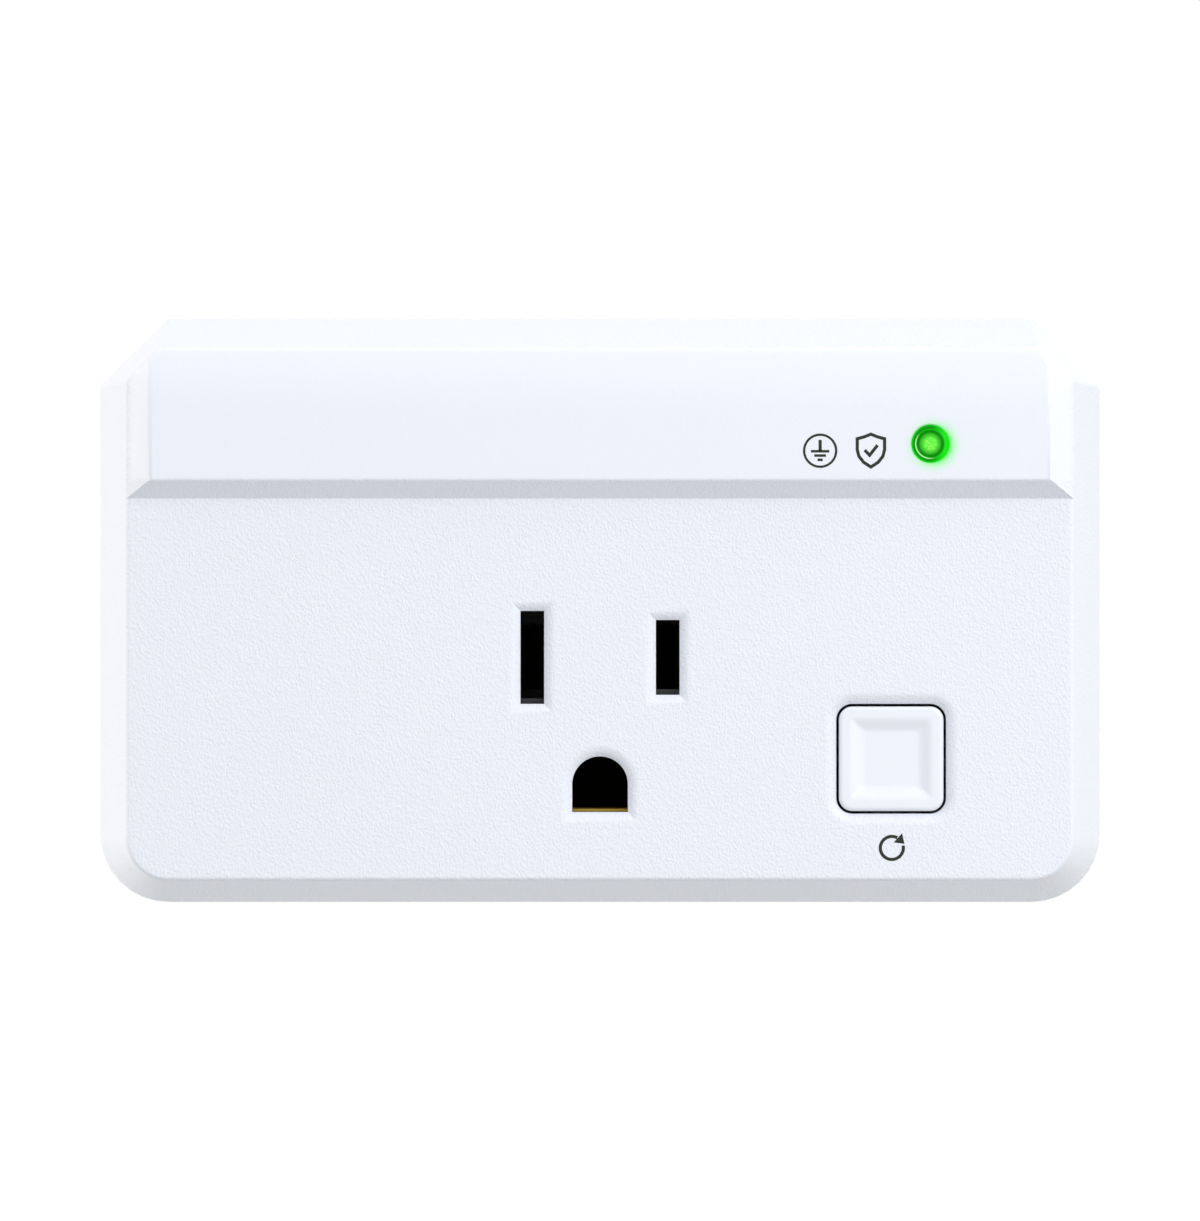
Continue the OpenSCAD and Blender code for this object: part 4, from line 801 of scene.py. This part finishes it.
# PARTS ON THE BOARD
# Three varistors dipped in blue lacquer, a ceramic thermal fuse, a boxed film capacitor, two resistors
# with colour bands and a diode with one band. All stand on tinned wire legs soldered to the board.
TINNED, TINNED_ROUGH = (0.62, 0.61, 0.58), 0.3
BOARD_FRONT_Y, LEG_TOP_Y, PAST_ALL_Y = -10.0 * MM, -11.3 * MM, -40 * MM
FUSE_X, FUSE_HALF = -29.0 * MM, 4.5 * MM
RESISTOR_X, DIODE_X, DIODE_HALF = -3.0 * MM, 11.5 * MM, 2.6 * MM
BAND_STEPS, BAND_WIDTH = (-2.2 * MM, -1.1 * MM, 0.0, 2.0 * MM), 0.5 * MM
BROWN, BLACK, RED = (0.10, 0.03, 0.01), (0.01, 0.01, 0.01), (0.5, 0.02, 0.01)
ORANGE, GOLD, SILVER = (0.7, 0.2, 0.01), (0.45, 0.30, 0.06), (0.55, 0.55, 0.55)


def between(tree, value, low, high, fade=0.02 * MM):
    """1 where a value lies between two limits, and 0 outside them."""
    return maths(tree, "MULTIPLY", ranged(tree, value, low - fade, low + fade),
                 ranged(tree, value, high + fade, high - fade))


def component(name, colour, rough, axis, low, high, bands=(), relief=0.006 * MM, grain=0.6 * MM):
    """A coated body between two limits along an axis, bare tinned wire outside them, and painted
    bands given as (middle, width, colour)."""
    material, tree, shader = new_material(name)
    place, sockets = position(tree)
    along = sockets["XYZ".index(axis)]
    body = between(tree, along, low, high)
    tint = shaded(tree, colour, drift(tree, place, 1.5 * MM, 0.9, 1.1))
    for middle, width, paint in bands:
        band = between(tree, along, middle - width / 2, middle + width / 2)
        tint = blended(tree, band, tint, (*paint, 1))
    embossed(tree, shader, spark_finish(tree, place, grain), relief)
    set_inputs(tree, shader, {"Base Color": blended(tree, body, (*TINNED, 1), tint),
                              "Metallic": maths(tree, "SUBTRACT", 1.0, body),
                              "Roughness": ranged(tree, body, 0, 1, TINNED_ROUGH, rough)})
    return material


dress(component("blue_varistor_lacquer", (0.012, 0.055, 0.30), 0.35, "Y", PAST_ALL_Y, LEG_TOP_Y,
                relief=0.03 * MM),
      "varistor_line_neutral", "varistor_line_ground", "varistor_neutral_ground")
dress(component("yellow_capacitor_box", (0.80, 0.52, 0.03), 0.4, "Y", PAST_ALL_Y, BOARD_FRONT_Y),
      "film_capacitor")
dress(component("white_fuse_ceramic", (0.72, 0.70, 0.63), 0.5, "X", FUSE_X - FUSE_HALF,
                FUSE_X + FUSE_HALF), "thermal_fuse")
for name, lacquer, half_body, paints, resistor in (
        ("tan_resistor_lacquer", (0.58, 0.42, 0.24), 3.2 * MM, (ORANGE, ORANGE, RED, GOLD),
         "led_resistor"),
        ("blue_resistor_lacquer", (0.16, 0.34, 0.52), 3.4 * MM, (BROWN, BLACK, BLACK, BROWN),
         "bleed_resistor")):
    bands = [(RESISTOR_X + step, BAND_WIDTH, paint) for step, paint in zip(BAND_STEPS, paints)]
    dress(component(name, lacquer, 0.4, "X", RESISTOR_X - half_body, RESISTOR_X + half_body, bands),
          resistor)
dress(component("black_diode_epoxy", (0.012, 0.012, 0.012), 0.35, "X", DIODE_X - DIODE_HALF,
                DIODE_X + DIODE_HALF, [(DIODE_X + 1.8 * MM, 0.8 * MM, SILVER)]), "rectifier_diode")


# STATUS LIGHT
# A green-tinted epoxy light with a domed middle inside a raised rim. It is lit: the die glows pale
# through the dome as a small star, and the rim carries the green round to the hole's edge.
LENS_R = 1.65 * MM
STAR_RAYS, STAR_REACH = 7.0, 0.46
# the rim glows half as green as the dome, and the low places beside it a quarter
DOME_GREEN, RIM_GREEN, LOW_GREEN = (0.10, 0.90, 0.05, 1), (0.0, 0.45, 0.0, 1), (0.0, 0.22, 0.0, 1)
# shares of the lens's radius
DOME_TOP, DOME_FOOT, RIM_FROM, RIM_TO, RIM_FADE, EDGE_FROM = 0.30, 0.68, 0.78, 0.88, 0.03, 0.95
lens_profile = [(0.5, -28.3), (2.0, -28.3), (2.05, -28.35), (2.05, -29.25), (2.0, -29.3),
                (1.66, -29.3), (1.65, -29.4), (1.65, -32.95), (1.62, -33.05), (1.55, -33.14),
                (1.45, -33.18), (1.34, -33.16), (1.26, -33.08), (1.20, -33.03), (1.13, -33.05),
                (1.08, -33.12), (0.98, -33.25), (0.84, -33.37), (0.66, -33.48), (0.46, -33.55),
                (0.24, -33.59), (0.08, -33.6)]

lens, tree, shader = new_material("lit_green_lens")
_, (x, _, z) = position(tree)
across, up = maths(tree, "SUBTRACT", x, LED_X), maths(tree, "SUBTRACT", z, LED_Z)
spoke = node(tree, "CombineXYZ", {0: across, 1: up}).outputs[0]
radius = node(tree, "VectorMath", {0: spoke}, operation="LENGTH").outputs["Value"]
share = maths(tree, "DIVIDE", radius, LENS_R)
raised = maths(tree, "MAXIMUM", between(tree, share, RIM_FROM, RIM_TO, RIM_FADE),
               ranged(tree, share, EDGE_FROM, 1.0))
lit = blended(tree, ranged(tree, share, DOME_FOOT, DOME_TOP), LOW_GREEN, DOME_GREEN)
lit = blended(tree, raised, lit, RIM_GREEN)
# the star: rays round the middle that wander a little, broken up into sparks
wander = node(tree, "TexNoise", {"Vector": spoke, "Scale": 2600.0, "Detail": 2.0}).outputs[0]
angle = maths(tree, "ARCTAN2", up, across)
ray = maths(tree, "COSINE", maths(tree, "MULTIPLY_ADD", angle, STAR_RAYS, wander))
ray = ranged(tree, ray, -1.0, 1.0, 0.25, 1.0)
star = maths(tree, "MULTIPLY", ray, ranged(tree, share, STAR_REACH, 0.02))
sparks = node(tree, "TexVoronoi", {"Vector": spoke, "Scale": 4300.0}).outputs["Distance"]
star = maths(tree, "MULTIPLY", star, ranged(tree, sparks, 0.15, 0.6, 1.5, 0.15), use_clamp=True)
lit = blended(tree, star, lit, (0.62, 1.0, 0.22, 1))
# painted highlights: the raised rim is painted brighter green on its right side, and a thin pale glint
# is painted on its lower left
side = ranged(tree, across, 0.2 * MM, 1.3 * MM)
rim = maths(tree, "MULTIPLY", side, ranged(tree, share, 0.74, 0.86))
lit = blended(tree, rim, lit, (0.010, 0.74, 0.010, 1))
leaning = node(tree, "VectorMath", {0: spoke, 1: (-0.85, -0.53, 0)},
               operation="DOT_PRODUCT").outputs["Value"]
line = maths(tree, "MULTIPLY", between(tree, share, 0.795, 0.86, fade=0.02),
             ranged(tree, leaning, 0.35 * MM, 1.0 * MM))
lit = blended(tree, line, lit, (0.42, 0.95, 0.36, 1))
set_inputs(tree, shader, {
    "Emission Color": lit, "Emission Strength": 1.0, "Base Color": (0.0, 0.03, 0.0, 1),
    "Specular IOR Level": 0.08, "Roughness": ranged(tree, wander, 0, 1, 0.10, 0.22)})
placed(turned(lens_profile, (LED_X, LED_Z)), "status_light_lens", "casing",
       ["status_led"], lens, crease=60)
dress(metal("tinned_led_legs", TINNED, TINNED_ROUGH, drawn=(1, 0.2, 1), size=0.3 * MM), "led_legs")
dress(moulding("white_nylon_spacer", (0.74, 0.74, 0.71), 0.45, 0.4 * MM), "led_spacer")


# LEADS
# Stranded copper in PVC insulation, black for line, white for neutral and green for ground, routed by
# hand from joint to joint and soldered at both ends.
for name, colour, leads in (
        ("black_pvc", (0.010, 0.010, 0.011), ("line_lead", "load_lead", "board_line_lead")),
        ("white_pvc", (0.74, 0.74, 0.72), ("neutral_lead", "board_neutral_lead")),
        ("green_pvc", (0.010, 0.17, 0.035), ("ground_lead", "board_ground_lead"))):
    dress(moulding(name, colour, 0.38, 0.9 * MM, relief=0.01 * MM, spread=0.05), *leads)
